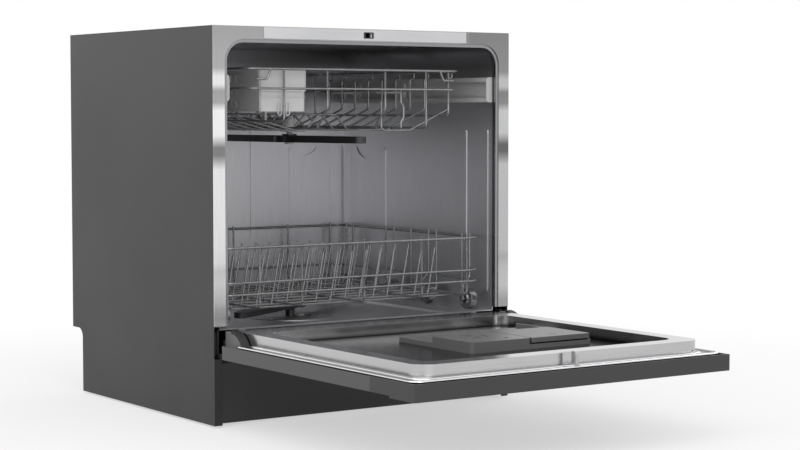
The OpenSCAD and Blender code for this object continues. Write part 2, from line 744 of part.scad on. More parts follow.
module up_end(y, way) {
    rim_end(up_x, y, way * corner_r, up_rim_z, rim_d);
    rim_end(rail_x, y + way * rail_in, way * (corner_r - rail_in), up_mid_z, wire_d);
    for (x = up_end_x) {
        y0 = y + way * upright_in;
        foot = [x, y + way * up_leg(x), long_z(x)];
        bent(in_trough(x)
            ? [[x, y0, up_rim_z], [x, y0, long_z(x) + slope_run], [x, y0 + way * slope_run, long_z(x)], foot]
            : [[x, y0, up_rim_z], [x, y0, long_z(x)], foot], wire_d, 7);
    }
}

// The jogged wire that hangs from the front's middle rail and ends on the floor
jog_x = 84;
module jogged_wire() {
    y = rack_front + upright_in;
    floor_z = up_low_z + wire_d + hair;
    bent([[jog_x, y, up_mid_z + 2], [jog_x, y, up_mid_z - 21], [jog_x + 5, y, up_mid_z - 27],
          [jog_x + 5, y, floor_z + 16], [jog_x, y, floor_z + 10], [jog_x, y, floor_z],
          [jog_x, up_short + 6, floor_z]], wire_d, 2.5);
}

// The small bracket under the rim at each front corner
module corner_bracket() bent([[158, rack_front, up_rim_z - 0.5], [165, rack_front, up_rim_z - 15.5],
                              [184, rack_front, up_rim_z - 15.5]], wire_d, 4);

rail_x = up_wall + wire_d - weld;
module upper_rack_front() color(steel) at_front() {
    up_end(rack_front, 1);
    jogged_wire();
    both_sides() corner_bracket();
}
module upper_rack_back() color(steel) at_front() up_end(up_back, -1);

module up_side_grid() {
    rod([up_x, rack_front + corner_r, up_rim_z], [up_x, up_back - corner_r, up_rim_z], rim_d);
    rod([rail_x, rack_front + corner_r, up_mid_z], [rail_x, up_back - corner_r, up_mid_z], wire_d);
    for (y = up_wires) up_side_wire(y);
}
// An upright that steps inwards just under the rim
module up_side_wire(y) bent([[up_x, y, up_rim_z - 0.5], [up_x, y, up_rim_z - 11],
                             [up_wall, y, up_rim_z - 11], [up_wall, y, up_bend_z + 12]], wire_d, 3.7);
module upper_rack_left() color(steel) at_front() mirror([1, 0, 0]) up_side_grid();
module upper_rack_right() color(steel) at_front() {
    up_side_grid();
    up_side_wire(up_short);
}

// The waved floor: wires across and wires along it
module upper_rack_floor() color(steel) at_front() {
    for (y = up_wires)
        bent([[-up_wall, y, up_bend_z + 12], [-up_wall, y, up_bend_z],
              [-trough_out(-1), y, up_low_z], [-trough_in, y, up_low_z],
              [-peak_x, y, up_peak_z], [peak_x, y, up_peak_z],
              [trough_in, y, up_low_z], [trough_out(1), y, up_low_z],
              [up_wall, y, up_bend_z], [up_wall, y, up_bend_z + 12]], wire_d, 7);
    // the short one turns up as a pin
    bent([[trough_in + 21, up_short, up_low_z + 46], [trough_in + 21, up_short, up_low_z],
          [trough_out(1), up_short, up_low_z], [up_wall, up_short, up_bend_z],
          [up_wall, up_short, up_bend_z + 12]], wire_d, 7);
    for (x = up_end_x)
        rod([x, rack_front + up_leg(x), long_z(x)], [x, up_back - up_leg(x), long_z(x)], wire_d);
}

// The moulded shoes that slide in the side rails
glide_y = [rack_front + up_travel, up_back - 28];
module upper_rack_glides() color([0.66, 0.66, 0.68]) at_front() both_sides() for (y = glide_y) {
    x0 = mouth_x - rail_w + 1.2 + slide_gap;
    x1 = mouth_x - 1.2 - slide_gap;
    head = rail_h / 2 - 1.2 - slide_gap;
    block([x0, y - 14, rail_z - head], [x1, y + 14, rail_z + head]);
    difference() {
        block([up_wall + wire_d / 2 + 0.2, y - 10, rail_z - 4.5], [x0, y + 10, rail_z + 4.5]);
        rod([rail_x, y - 11, up_mid_z], [rail_x, y + 11, up_mid_z], wire_d);
    }
}

// The two-tier cutlery basket, which stands in the left half of the upper rack
basket_low = [-up_x + 28, rack_front + 12];
basket_w = 87;
basket_d = 250;
basket_z = up_bend_z - 3.5;
basket_tall = 63;
basket_wall = 2.4;
basket_step = 24;
basket_waist = 7;
basket_in = 2;
slot_from = 66;
module basket_cell(y0, y1) translate([0, 0, basket_z + basket_wall]) linear_extrude(basket_tall)
    round_rect([basket_wall + basket_in, y0], [basket_w - basket_wall - basket_in, y1], 4);
// The feet under its inner side stand on two of the waved wires
foot_z = wave(basket_low[0] + basket_w - 8) + wire_d / 2 + 0.36;
module basket_feet() for (i = [4, 6])
    block([basket_w - 8, up_wires[i] - basket_low[1] - 4, foot_z],
          [basket_w - 4, up_wires[i] - basket_low[1] + 4, basket_z + 1]);
module cutlery_basket() color([0.70, 0.70, 0.71]) at_front() translate([basket_low[0], basket_low[1], 0]) {
    basket_feet();
    difference() {
        union() {
            // the lower tier, the waist and the upper tier
            translate([0, 0, basket_z]) linear_extrude(basket_tall)
                round_rect([basket_in, basket_in], [basket_w - basket_in, basket_d - basket_in], 6);
            translate([0, 0, basket_z + basket_step - 2]) linear_extrude(2)
                round_rect([0.6, 0.6], [basket_w - 0.6, basket_d - 0.6], 7);
            translate([0, 0, basket_z + basket_step + basket_waist])
                linear_extrude(basket_tall - basket_step - basket_waist)
                round_rect([0, 0], [basket_w, basket_d], 7);
        }
        basket_cell(basket_wall + basket_in, basket_d / 2 - 1.2);
        basket_cell(basket_d / 2 + 1.2, basket_d - basket_wall - basket_in);
        // slots in the sides behind the plain front part, and in the floor
        for (i = [0:11]) for (z = [[7, 17], [basket_step + 1, basket_step + 6], [44, 55]])
            block([-1, slot_from + i * 14.5, basket_z + z[0]],
                  [basket_w + 1, slot_from + i * 14.5 + 7, basket_z + z[1]]);
        for (i = [0:4]) for (j = [0:11])
            block([9 + i * 15, 10 + j * 20, basket_z - 1], [16 + i * 15, 22 + j * 20, basket_z + 4]);
    }
}

// ---------- water works ----------
feed_d = 16;
feed_z = up_peak_z - wire_d / 2 - feed_d / 2 - 3;
riser_y = tub_back + tub_t + 11;
under_z = tub_floor - tub_t - feed_d / 2 - 1;
pump_at = [-135, mid_y - 40, 62];
pump_r = 36;
module spray_feed_pipe() color([0.78, 0.78, 0.79]) at_front() {
    bent([[pump_at[0], mid_y + 20, pump_at[2] + 20], [pump_at[0], mid_y + 20, under_z],
          [0, riser_y, under_z], [0, riser_y, feed_z], [0, mid_y, feed_z]], feed_d - 0.4, 12);
    translate([0, tub_back - 3, feed_z]) rotate([-90, 0, 0]) cylinder(d = feed_d + 10, h = 3);
    // the head that carries the upper arm
    translate([0, mid_y, up_hub_z]) cylinder(r = 10, h = feed_z - up_hub_z + 6);
    translate([0, mid_y, up_hub_z - 20]) cylinder(r = 4.5, h = 24);
    translate([0, mid_y, up_hub_z - 20]) cylinder(r = 8, h = 2.5);
}

// The sump bowl under the tub, with the spindle of the lower arm
sump_low = tub_floor - 62;
spindle_top = low_floor_z - wire_d / 2 - 2;
low_arm_z = track_z + 2;
module sump() color([0.28, 0.28, 0.29]) at_front() translate([0, sump_y, 0]) {
    difference() {
        union() {
            translate([0, 0, sump_low]) cylinder(r1 = sump_r - 24, r2 = sump_r - 2, h = tub_floor - sump_low - tub_t);
            translate([0, 0, tub_floor - tub_t - 4]) cylinder(r = sump_r + 8, h = 4);
        }
        translate([0, 0, sump_low + 3])
            cylinder(r1 = sump_r - 27, r2 = sump_r - 5, h = tub_floor - sump_low);
    }
    translate([0, 0, sump_low + 1]) cylinder(r = 8, h = low_arm_z - 0.4 - sump_low - 1);
    translate([0, 0, low_arm_z - 1]) cylinder(r = 5, h = spindle_top - low_arm_z + 1);
    translate([0, 0, spindle_top - 2.4]) cylinder(r = 8, h = 2.4);
}

// The perforated filter plate with its removable cup
cup_x = 26;
module filter_basket() color([0.66, 0.66, 0.67]) at_front() translate([0, sump_y, 0]) {
    difference() {
        translate([0, 0, tub_floor]) cylinder(r = sump_r + 5, h = 1.2);
        translate([0, 0, tub_floor - 1]) cylinder(r = 8.4, h = 5);
        translate([cup_x, 0, tub_floor - 1]) cylinder(r = 15, h = 5);
        for (r = [28, 48, 58]) for (a = [0:360 / (r / 2):359])
            if (norm([r * cos(a) - cup_x, r * sin(a)]) > 24)
                rotate(a) translate([r, 0, tub_floor - 1]) cylinder(r = 2, h = 4);
    }
    difference() {
        translate([cup_x, 0, tub_floor - 44]) cylinder(r = 16.5, h = 45);
        translate([cup_x, 0, tub_floor - 42]) cylinder(r = 15, h = 50);
        for (a = [0:30:359]) for (z = [-38, -20])
            translate([cup_x, 0, tub_floor + z]) rotate(a) block([10, -2, 0], [20, 2, 12]);
    }
}

// Seats for the two motors, moulded in the base
motor_r = pump_r - 4;
module pump_seat() {
    block([pump_at[0] - 34, pump_at[1] - 22, foot_h + 2],
          [pump_at[0] + 20, pump_at[1] + 22, pump_at[2] - motor_r - 2]);
    block([drain_at[0] - 24, drain_at[1] - 18, foot_h + 2],
          [drain_at[0] + 24, drain_at[1] + 18, drain_at[2] - drain_r - 2]);
}

// The foot under a lying motor of radius r
module motor_foot(at, half_x, half_y, r)
    block([at[0] - half_x, at[1] - half_y, at[2] - r - 2], [at[0] + half_x, at[1] + half_y, at[2] - r * 0.6]);

// The circulation pump: motor, volute with its heating ring, and its inlet from the sump
module circulation_pump() color([0.35, 0.35, 0.37]) at_front() {
    translate([pump_at[0] - 50, pump_at[1], pump_at[2]]) rotate([0, 90, 0])
        cylinder(r = motor_r, h = 72);
    translate([pump_at[0] + 20, pump_at[1], pump_at[2]]) rotate([0, 90, 0])
        cylinder(r = pump_r + 4, h = 26);
    motor_foot(pump_at, 18, 18, motor_r);
    translate([pump_at[0] + 46, pump_at[1], pump_at[2]]) rotate([0, 90, 0])
        cylinder(r = 13, h = -pump_at[0] - 46 - sump_r + 26);
    bent([[pump_at[0] + 33, pump_at[1] + 20, pump_at[2] + 8], [pump_at[0] + 33, mid_y + 20, pump_at[2] + 8],
          [pump_at[0], mid_y + 20, pump_at[2] + 8]], feed_d + 2, 12);
    translate([pump_at[0], mid_y + 20, pump_at[2] - 2]) cylinder(r = feed_d / 2 + 3, h = 22);
}

// The hose tails and the gland, from the left as seen from behind
valve_x = half_w - 80;
drain_x = valve_x - 65;
drain_at = [drain_x - 12, mid_y - 50, 50];
drain_r = 25;
module drain_pump() color([0.30, 0.30, 0.31]) at_front() {
    translate([drain_at[0] - 30, drain_at[1], drain_at[2]]) rotate([0, 90, 0]) cylinder(r = drain_r, h = 62);
    motor_foot(drain_at, 20, 14, drain_r);
    // the outlet boss
    translate([drain_at[0] + 20, drain_at[1], drain_at[2] + 4]) rotate([-90, 0, 0])
        cylinder(r = drain_pipe_r + 2, h = drain_r + 5);
    bent([[drain_at[0] - 28, drain_at[1], drain_at[2] + 10], [50, drain_at[1], drain_at[2] + 24],
          [35, drain_at[1] + 12, sump_low + 8]], 14, 8);
}

// The hose tail for the waste water, with its pipe from the pump
spigot_z = 58;
drain_spigot_r = 9.5;
drain_pipe_r = 8;
module drain_spigot() color([0.25, 0.25, 0.26]) at_front() {
    y0 = base_back;
    bent([[drain_at[0] + 20, drain_at[1] + drain_r + 5, drain_at[2] + 4], [drain_at[0] + 20, y0 - 60, drain_at[2] + 4],
          [drain_x, y0 - 30, spigot_z], [drain_x, y0 + sheet_t, spigot_z]], 2 * drain_pipe_r, 14);
    translate([drain_x, y0 + sheet_t, spigot_z]) rotate([-90, 0, 0]) cylinder(r = drain_spigot_r + 4, h = 3);
    translate([drain_x, y0 + sheet_t + 3, spigot_z]) rotate([-90, 0, 0])
        cylinder(r = drain_spigot_r, h = 22);
    translate([drain_x, y0 + sheet_t + 25, spigot_z]) rotate([-90, 0, 0])
        cylinder(r1 = drain_spigot_r, r2 = drain_spigot_r - 1.5, h = 5);
}

// The fill valve with its threaded hose tail
valve_r = 13.2;
valve_neck_r = 11.5;
module inlet_valve() color([0.85, 0.85, 0.83]) at_front() translate([valve_x, base_back, spigot_z]) {
    block([-17, -46, -18], [17, 0, 16]);
    translate([0, -26, 10]) cylinder(r = 13, h = 34);
    translate([0, sheet_t, 0]) rotate([-90, 0, 0]) cylinder(r = valve_r + 3, h = 3);
    translate([0, -1, 0]) rotate([-90, 0, 0]) cylinder(r = valve_neck_r, h = 4);
    difference() {
        translate([0, sheet_t + 3, 0]) rotate([-90, 0, 0]) cylinder(r = valve_r, h = 15);
        translate([0, sheet_t + 6, 0]) rotate([-90, 0, 0]) cylinder(r = valve_r - 3, h = 15);
    }
    block([-5, -40, -spigot_z + foot_h + 3], [3, -20, -18]);
}

// The float that stops the fill if water collects in the base
float_x = half_w - 60;
float_y = 70;
module leak_float() color([0.9, 0.9, 0.88]) at_front() translate([float_x, float_y, foot_h + 12.3])
    difference() {
        cylinder(r = 22, h = 14);
        translate([0, 0, -1]) cylinder(r = 3 + run_gap, h = 20);
    }

gland_x = -valve_x;
gland_neck_r = 8;
module power_gland() color(black) at_front() translate([gland_x, base_back, spigot_z]) difference() {
    union() {
        translate([0, sheet_t, 0]) rotate([-90, 0, 0]) cylinder(r = 11, h = 3);
        translate([0, -8, 0]) rotate([-90, 0, 0]) cylinder(r = gland_neck_r, h = 22);
        translate([0, -8, 0]) rotate([-90, 0, 0]) cylinder(r = 11, h = 8);
    }
    translate([0, -9, 0]) rotate([-90, 0, 0]) cylinder(r = 3.6, h = 30);
}

// ---------- spray arms ----------
// A hollow arm's outline: a hub, two tapered wings and round tips
module arm_outline(half, hub_r, w, tip) {
    circle(hub_r);
    for (s = [0, 180]) rotate(s) {
        polygon([[0, -w / 2], [half - tip, -tip], [half - tip, tip], [0, w / 2]]);
        translate([half - tip, 0]) circle(tip);
    }
}

module spray_arm(half, low, thick, bore, jets_up) difference() {
    union() {
        translate([0, 0, low]) linear_extrude(thick) arm_outline(half, arm_w / 2 + 4, arm_w, 11);
        translate([0, 0, low]) cylinder(r = 12, h = thick + 2.5);
    }
    translate([0, 0, low - 1]) cylinder(r = bore + run_gap, h = thick + 6);
    for (s = [0, 180]) for (i = [1:5]) rotate(s) translate([half * (0.12 + 0.165 * i), (i % 2) * 8 - 4, 0])
        translate([0, 0, jets_up ? low + thick - 2.5 : low - 1]) cylinder(r = 1.8, h = 3.5);
}

module lower_spray_arm() color([0.25, 0.25, 0.26]) at_front() translate([0, sump_y, 0])
    rotate(35) spray_arm(low_arm, low_arm_z, 9, 5, true);

up_hub_z = up_low_z - wire_d / 2 - 2;
module upper_spray_arm() color(black) at_front() translate([0, mid_y, 0])
    rotate(-82) spray_arm(up_arm, up_hub_z - 17, 11, 4.5, false);

left_side_panel();
right_side_panel();
top_panel();
rear_panel();
base_pan();
kick_plate();
front_frame();
top_trim_strip();
latch_housing();
tub();
door_seal();
hinge_brackets();
feet();
upper_rack_rails();
spray_feed_pipe();
sump();
filter_basket();
circulation_pump();
drain_pump();
inlet_valve();
drain_spigot();
leak_float();
power_gland();
door_panel();
control_fascia();
door_liner();
hinge_arms();
hinge_shoulders();
dispenser_body();
latch_hook();
display_window();
control_board();
dispenser_lid();
rinse_aid_cap();
power_key();
program_key();
start_key();
lower_rack_front();
lower_rack_back();
lower_rack_left();
lower_rack_right();
lower_rack_floor();
lower_rack_tines();
lower_wheel_1();
lower_wheel_2();
lower_wheel_3();
lower_wheel_4();
lower_wheel_5();
lower_wheel_6();
lower_wheel_7();
lower_wheel_8();
upper_rack_front();
upper_rack_back();
upper_rack_left();
upper_rack_right();
upper_rack_floor();
upper_rack_glides();
cutlery_basket();
upper_spray_arm();
lower_spray_arm();
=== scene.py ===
"""Finish of a benchtop dishwasher: dressed metal, wire racks, mouldings and small parts."""
import json
import math

import bpy
from mathutils import Matrix, Vector

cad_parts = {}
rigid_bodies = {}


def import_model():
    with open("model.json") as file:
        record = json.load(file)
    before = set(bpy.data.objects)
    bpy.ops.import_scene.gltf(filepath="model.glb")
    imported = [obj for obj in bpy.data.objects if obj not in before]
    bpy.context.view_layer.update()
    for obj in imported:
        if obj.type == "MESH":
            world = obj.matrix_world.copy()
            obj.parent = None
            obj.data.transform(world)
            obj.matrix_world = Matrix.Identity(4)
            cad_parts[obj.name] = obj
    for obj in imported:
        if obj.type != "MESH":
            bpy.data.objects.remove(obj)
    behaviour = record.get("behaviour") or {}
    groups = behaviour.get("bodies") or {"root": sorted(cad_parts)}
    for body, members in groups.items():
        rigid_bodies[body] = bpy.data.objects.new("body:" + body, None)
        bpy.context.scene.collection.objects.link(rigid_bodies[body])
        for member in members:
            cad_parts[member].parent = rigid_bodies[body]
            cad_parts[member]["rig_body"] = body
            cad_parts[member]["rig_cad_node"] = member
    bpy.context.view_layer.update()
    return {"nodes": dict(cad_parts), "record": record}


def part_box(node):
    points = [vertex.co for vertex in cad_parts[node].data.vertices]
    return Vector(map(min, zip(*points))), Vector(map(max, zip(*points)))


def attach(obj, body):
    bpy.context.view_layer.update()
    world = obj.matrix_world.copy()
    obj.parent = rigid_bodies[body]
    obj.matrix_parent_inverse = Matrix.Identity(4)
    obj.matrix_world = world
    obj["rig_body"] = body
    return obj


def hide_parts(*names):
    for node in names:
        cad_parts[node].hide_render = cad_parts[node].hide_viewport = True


bl_info = {
    "name": "Benchtop Dishwasher",
    "version": (1, 0, 0),
    "blender": (4, 5, 0),
    "location": "View3D > Sidebar > Dishwasher",
    "description": "Dresses a drop-door dishwasher with two wire racks",
    "category": "Object",
}

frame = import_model()
MM = 0.001
TAB = "Dishwasher"
# the ramps of painted shade and painted reflection in the finishes run over these spans
SPAN_UP = SPAN_ACROSS = 0.6         # metres that the ramps over height and width cover

# Places in millimetres of the frame
HINGE_AXIS = (0, -10.75, 107.5)
RIM_OUT, RIM_FRONT = 248, 473.75    # the liner's rim: out from the middle, forward of y = 0
SUNK_FLOOR = 128.5                  # height of the liner's sunk middle
LATCH = (0, 587.3)                  # middle of the latch's surround, across and up
LIP_BACK = 21.2                     # back edge of the steel lip, along y
INLET = (195, 469.4, 58)            # middle of the first thread
DRAIN = (130, 471.5, 58)            # middle of the first barb
CAP_OUT, CAP_FRONT = 247.2, 28.25   # the rails' end caps: out from the middle, and along y
WHEELS = 8
BODY_OF = {node: body for body, nodes in frame["record"]["behaviour"]["bodies"].items()
           for node in nodes}


# ---------------------------------------------------------------- settings
def colour(name, text, default):
    """A colour that a user can change."""
    return bpy.props.FloatVectorProperty(name=name, description=text, default=default,
                                         size=3, subtype="COLOR", min=0, max=1)


class FinishSettings(bpy.types.PropertyGroup):
    """Colours of the finishes."""
    paint: colour("Paint", "Cabinet panels", (0.042, 0.042, 0.044))
    skin: colour("Door skin", "Outer skin of the door", (0.074, 0.074, 0.076))
    polish: colour("Polished steel", "Frame round the opening", (0.86, 0.86, 0.872))
    strip: colour("Header strip", "Light strip over the opening", (0.59, 0.59, 0.605))
    tub: colour("Tub steel", "Pressed tub", (0.58, 0.58, 0.60))
    liner: colour("Liner steel", "Inner side of the door", (0.52, 0.52, 0.525))
    bead: colour("Bead", "Beads round the liner", (0.8, 0.8, 0.81))
    lip: colour("Lip", "Lip round the tub's mouth", (0.30, 0.30, 0.31))
    wire: colour("Wire", "Coated wire of both racks", (0.25, 0.25, 0.255))
    wheel: colour("Wheel", "Faces of the rack wheels", (0.17, 0.17, 0.175))
    tread: colour("Tread", "Rims, treads and collars of the rack wheels", (0.26, 0.26, 0.265))
    light_plastic: colour("Light plastic", "Basket, rails, shoes and keys", (0.54, 0.54, 0.54))
    grey_plastic: colour("Grey plastic", "Dispenser and hinge covers", (0.125, 0.125, 0.127))
    # painted shade: the fascia is the door skin's enamel made darker, for the shade on its front
    # face
    fascia: colour("Fascia", "Control fascia", (0.038, 0.038, 0.039))
    hinge: colour("Hinge", "Hinge arms and brackets", (0.02, 0.02, 0.021))
    black: colour("Black plastic", "Spray arms, base and latch", (0.012, 0.012, 0.013))
    rubber: colour("Rubber", "Seals, feet and dark trim", (0.015, 0.015, 0.016))
    zinc: colour("Zinc", "Screws, hook, filter and pump", (0.45, 0.45, 0.46))
    white: colour("White plastic", "Valve, float and strike", (0.66, 0.66, 0.63))
    board: colour("Board", "Control board", (0.012, 0.075, 0.028))


def length(name, text, millimetres):
    """A size that a user can change."""
    return bpy.props.FloatProperty(name=name, description=text, default=millimetres * MM,
                                   min=0, max=0.1, precision=5, unit="LENGTH")


class DetailSettings(bpy.types.PropertyGroup):
    """Sizes of the small pieces."""
    sheet_edge: length("Sheet edge", "Rounding of the cabinet's panels", 0.35)
    liner_edge: length("Liner edge", "Rounding of the pressed liner", 0.9)
    moulding_edge: length("Moulding edge", "Rounding of small mouldings", 0.5)
    screw_head: length("Screw head", "Radius of the heads of the back screws", 4.3)
    outer_bead: length("Outer bead", "Radius of the liner's outer bead", 1.8)
    inner_bead: length("Inner bead", "Radius of the liner's inner bead", 1.7)
    wheel_hole: length("Wheel hole", "Radius of the holes in a wheel's face", 2.7)
    hole_ring: length("Hole ring", "Radius of the ring that the holes stand on", 8.3)
    clip_wire: length("Clip wire", "Radius of the basket clips' wire", 0.9)
    skirt_edge: length("Skirt edge", "Width of the border of the sill skirt", 4)


class StudioSettings(bpy.types.PropertyGroup):
    """The camera and the light."""
    eye: bpy.props.FloatVectorProperty(name="Camera place", description="Where the camera stands",
                                       default=(-1.67695, -2.49309, 0.47269),
                                       size=3, subtype="TRANSLATION", unit="LENGTH")
    yaw: bpy.props.FloatProperty(name="Yaw", description="Camera's turn from +Y towards +X",
                                 default=0.605694, subtype="ANGLE")
    dip: bpy.props.FloatProperty(name="Dip", description="How far the camera looks down",
                                 default=0.059330, subtype="ANGLE")
    lens: bpy.props.FloatProperty(name="Focal length", description="Lens on a 36 mm sensor",
                                  default=87.34)
    world: bpy.props.FloatProperty(name="Fill light", description="Strength of the even light",
                                   default=0.55, min=0, max=2)
    key: bpy.props.FloatProperty(name="Key light", description="Power of the big soft box",
                                 default=40, min=0, max=500)


# ---------------------------------------------------------------- shader maths
class Socket:
    """A shader socket with arithmetic: each operator adds a Math node."""

    def __init__(self, shader, out):
        self.shader = shader
        self.out = out

    def maths(self, operation, other=None, third=None):
        """The result of a Math node on this socket and up to two more values."""
        values = {0: self}
        if other is not None:
            values[1] = other
        if third is not None:
            values[2] = third
        return self.shader.node("ShaderNodeMath", {"operation": operation}, values)[0]

    def __add__(self, other):
        return self.maths("ADD", other)

    __radd__ = __add__

    def __mul__(self, other):
        return self.maths("MULTIPLY", other)

    __rmul__ = __mul__

    def __sub__(self, other):
        return self.maths("SUBTRACT", other)

    def __rsub__(self, other):
        return self.maths("MULTIPLY_ADD", -1.0, other)

    def __truediv__(self, other):
        return self.maths("DIVIDE", other)


class NodeTree:
    """A node tree of a material or of the world, built by one generic node method."""

    def __init__(self, owner):
        owner.use_nodes = True
        self.owner = owner
        self.tree = owner.node_tree
        self.tree.nodes.clear()

    def node(self, kind, settings=None, values=None):
        """Adds a node, sets its settings first and then its sockets; returns its outputs."""
        made = self.tree.nodes.new(kind)
        for key, value in (settings or {}).items():
            if key == "stops":
                self.ramp_stops(made, value)
            else:
                setattr(made, key, value)
        for key, value in (values or {}).items():
            socket = made.inputs[key]
            if isinstance(value, Socket):
                self.tree.links.new(value.out, socket)
            else:
                socket.default_value = value
        return [Socket(self, out) for out in made.outputs if out.enabled]

    @staticmethod
    def ramp_stops(made, stops):
        """Sets the stops of a Color Ramp node."""
        elements = made.color_ramp.elements
        while len(elements) > 1:
            elements.remove(elements[-1])
        elements[0].position = stops[0][0]
        elements[0].color = rgba(stops[0][1])
        for place, value in stops[1:]:
            elements.new(place).color = rgba(value)

    def seen_plainly(self):
        """1 for what the camera, a gloss or a clear piece shows, 0 for the light itself."""
        path = self.node("ShaderNodeLightPath")
        return path[0].maths("MAXIMUM", path[3]).maths("MAXIMUM", path[6])


class Shader(NodeTree):
    """A node material on Object coordinates."""

    def __init__(self, name):
        super().__init__(bpy.data.materials.new(name))

    def place(self, scale=(1, 1, 1)):
        """Object coordinates stretched by scale."""
        spot = self.node("ShaderNodeTexCoord")[3]
        return self.node("ShaderNodeMapping", {}, {"Vector": spot, "Scale": scale})[0]

    def axis(self, number):
        """One of the three Object coordinates, in metres."""
        return self.node("ShaderNodeSeparateXYZ", {}, {0: self.place()})[number]

    def noise(self, scale, detail=3, stretch=(1, 1, 1), roughness=0.55):
        """Noise of a scale per metre, stretched along the axes."""
        return self.node("ShaderNodeTexNoise", {},
                         {"Vector": self.place(stretch), "Scale": scale,
                          "Detail": detail, "Roughness": roughness})[0]

    def spread(self, value, low, high):
        """Maps 0.3..0.7 of a noise to low..high."""
        return self.node("ShaderNodeMapRange", {},
                         {"Value": value, "From Min": 0.3, "From Max": 0.7,
                          "To Min": low, "To Max": high})[0]

    def ramp(self, value, *stops):
        """A soft ramp of greys or colours over 0..1."""
        return self.node("ShaderNodeValToRGB", {"stops": stops}, {0: value})[0]

    def clamped(self, value):
        """The value held between 0 and 1."""
        return value.maths("MAXIMUM", 0.0).maths("MINIMUM", 1.0)

    def mix(self, factor, first, second):
        """A colour between two colours or sockets."""
        pair = [one if isinstance(one, Socket) else rgba(one) for one in (first, second)]
        return self.node("ShaderNodeMix", {"data_type": "RGBA"},
                         {0: factor, "A": pair[0], "B": pair[1]})[0]

    def shades(self, factor, base, low, high):
        """The base colour, made darker or lighter by the factor."""
        return self.mix(factor, [channel * low for channel in base],
                        [min(1, channel * high) for channel in base])

    def times(self, tone, factor):
        """A colour made darker by a factor."""
        return self.node("ShaderNodeMix", {"data_type": "RGBA", "blend_type": "MULTIPLY"},
                         {0: 1.0, "A": tone, "B": factor})[0]

    def bump(self, height, strength, distance):
        """A Bump node's normal."""
        return self.node("ShaderNodeBump", {},
                         {"Height": height, "Strength": strength, "Distance": distance})[0]

    def surface(self, values):
        """The principled surface and the output."""
        made = self.node("ShaderNodeBsdfPrincipled", {}, values)
        self.node("ShaderNodeOutputMaterial", {}, {"Surface": made[0]})
        return self.owner


def rgba(value):
    """A grey or a colour as four channels."""
    return (value, value, value, 1) if isinstance(value, (int, float)) else (*value, 1)


# ---------------------------------------------------------------- finishes
def painted_sheet(name, base, foot=1.0):
    """Metallic stove enamel: fine flake, faint orange peel, soft gloss, with painted shade that
    darkens it towards the bottom and a little painted light at the top; foot is how much of its
    lightness is left at the bottom."""
    s = Shader(name)
    flake = s.noise(1900, 2)
    cloud = s.noise(5, 3)
    peel = s.noise(260, 3)
    tone = s.spread(flake, 0, 0.6) + s.spread(cloud, 0, 0.4)
    # painted shade over height: darker towards the foot, a little lighter at the top
    painted_shade_fall = s.ramp(s.axis(2) / SPAN_UP, (0, foot), (0.6, 0.45 + 0.55 * foot), (1.0, 1.05))
    return s.surface({
        "Base Color": s.times(s.shades(tone, base, 0.88, 1.14), painted_shade_fall),
        "Metallic": 0.35,
        "Roughness": s.spread(cloud, 0.38, 0.46),
        "Coat Weight": 0.1,
        "Coat Roughness": 0.2,
        "Normal": s.bump(peel, 0.05, 0.0004)})


def tub_steel(name, base):
    """Brushed steel of the tub with an upright grain, and painted shade that darkens its roof."""
    s = Shader(name)
    grain = s.noise(55, 4, (6, 6, 0.3), 0.7)
    smear = s.noise(7, 3)
    # painted shade: the roof made darker
    roof = s.ramp(s.axis(2) / SPAN_UP, (0, 1.0), (0.84, 1.0), (0.93, 0.38))
    tone = s.shades(s.spread(grain, 0, 0.5) + s.spread(smear, 0, 0.5), base, 0.90, 1.06)
    return s.surface({
        "Base Color": s.times(tone, roof),
        "Metallic": 0.85,
        "Roughness": s.spread(smear, 0.30, 0.36),
        "Normal": s.bump(grain, 0.015, 0.0002)})


def brushed_metal(name, base, rough, stretch, shine=0.04, metallic=1.0, depth=0.08):
    """Steel with a grain along one direction."""
    s = Shader(name)
    grain = s.noise(55, 4, stretch, 0.7)
    smear = s.noise(7, 3)
    tone = s.spread(grain, 0, 0.5) + s.spread(smear, 0, 0.5)
    return s.surface({
        "Base Color": s.shades(tone, base, 0.90, 1.06),
        "Metallic": metallic,
        "Roughness": s.spread(smear, rough - shine, rough + shine),
        "Normal": s.bump(grain, depth, 0.0002)})


def polished_frame(name, base):
    """Polished frame: satin over the opening, painted reflections as bright and dark bands down
    both posts, and painted shade over the right post."""
    s = Shader(name)
    grain = s.noise(55, 4, (9, 9, 0.25), 0.7)
    # painted reflection: bright and dark bands over height, standing in for reflections in the
    # posts
    painted_reflection_bands = s.ramp(s.axis(2) / SPAN_UP,
                   (0.27, 0.60), (0.31, 0.92), (0.36, 0.88), (0.39, 0.72), (0.41, 0.86),
                   (0.64, 0.90), (0.66, 0.50), (0.675, 0.26), (0.695, 0.26), (0.725, 0.98),
                   (0.785, 1.0), (0.805, 0.46), (0.835, 0.42), (0.85, 0.92), (0.87, 0.92),
                   (0.89, 0.50), (0.99, 0.43))
    # painted shade: the right post made darker
    shade = s.ramp(s.axis(0) / SPAN_ACROSS + 0.5,
                   (0, 1.0), (0.79, 1.0), (0.83, 0.62), (1.0, 0.66))
    tone = s.shades(s.spread(grain, 0, 1), base, 0.95, 1.05)
    return s.surface({
        "Base Color": s.times(s.times(tone, painted_reflection_bands), shade),
        "Metallic": 1.0,
        "Roughness": s.spread(s.noise(7, 3), 0.20, 0.28),
        "Normal": s.bump(grain, 0.05, 0.0002)})


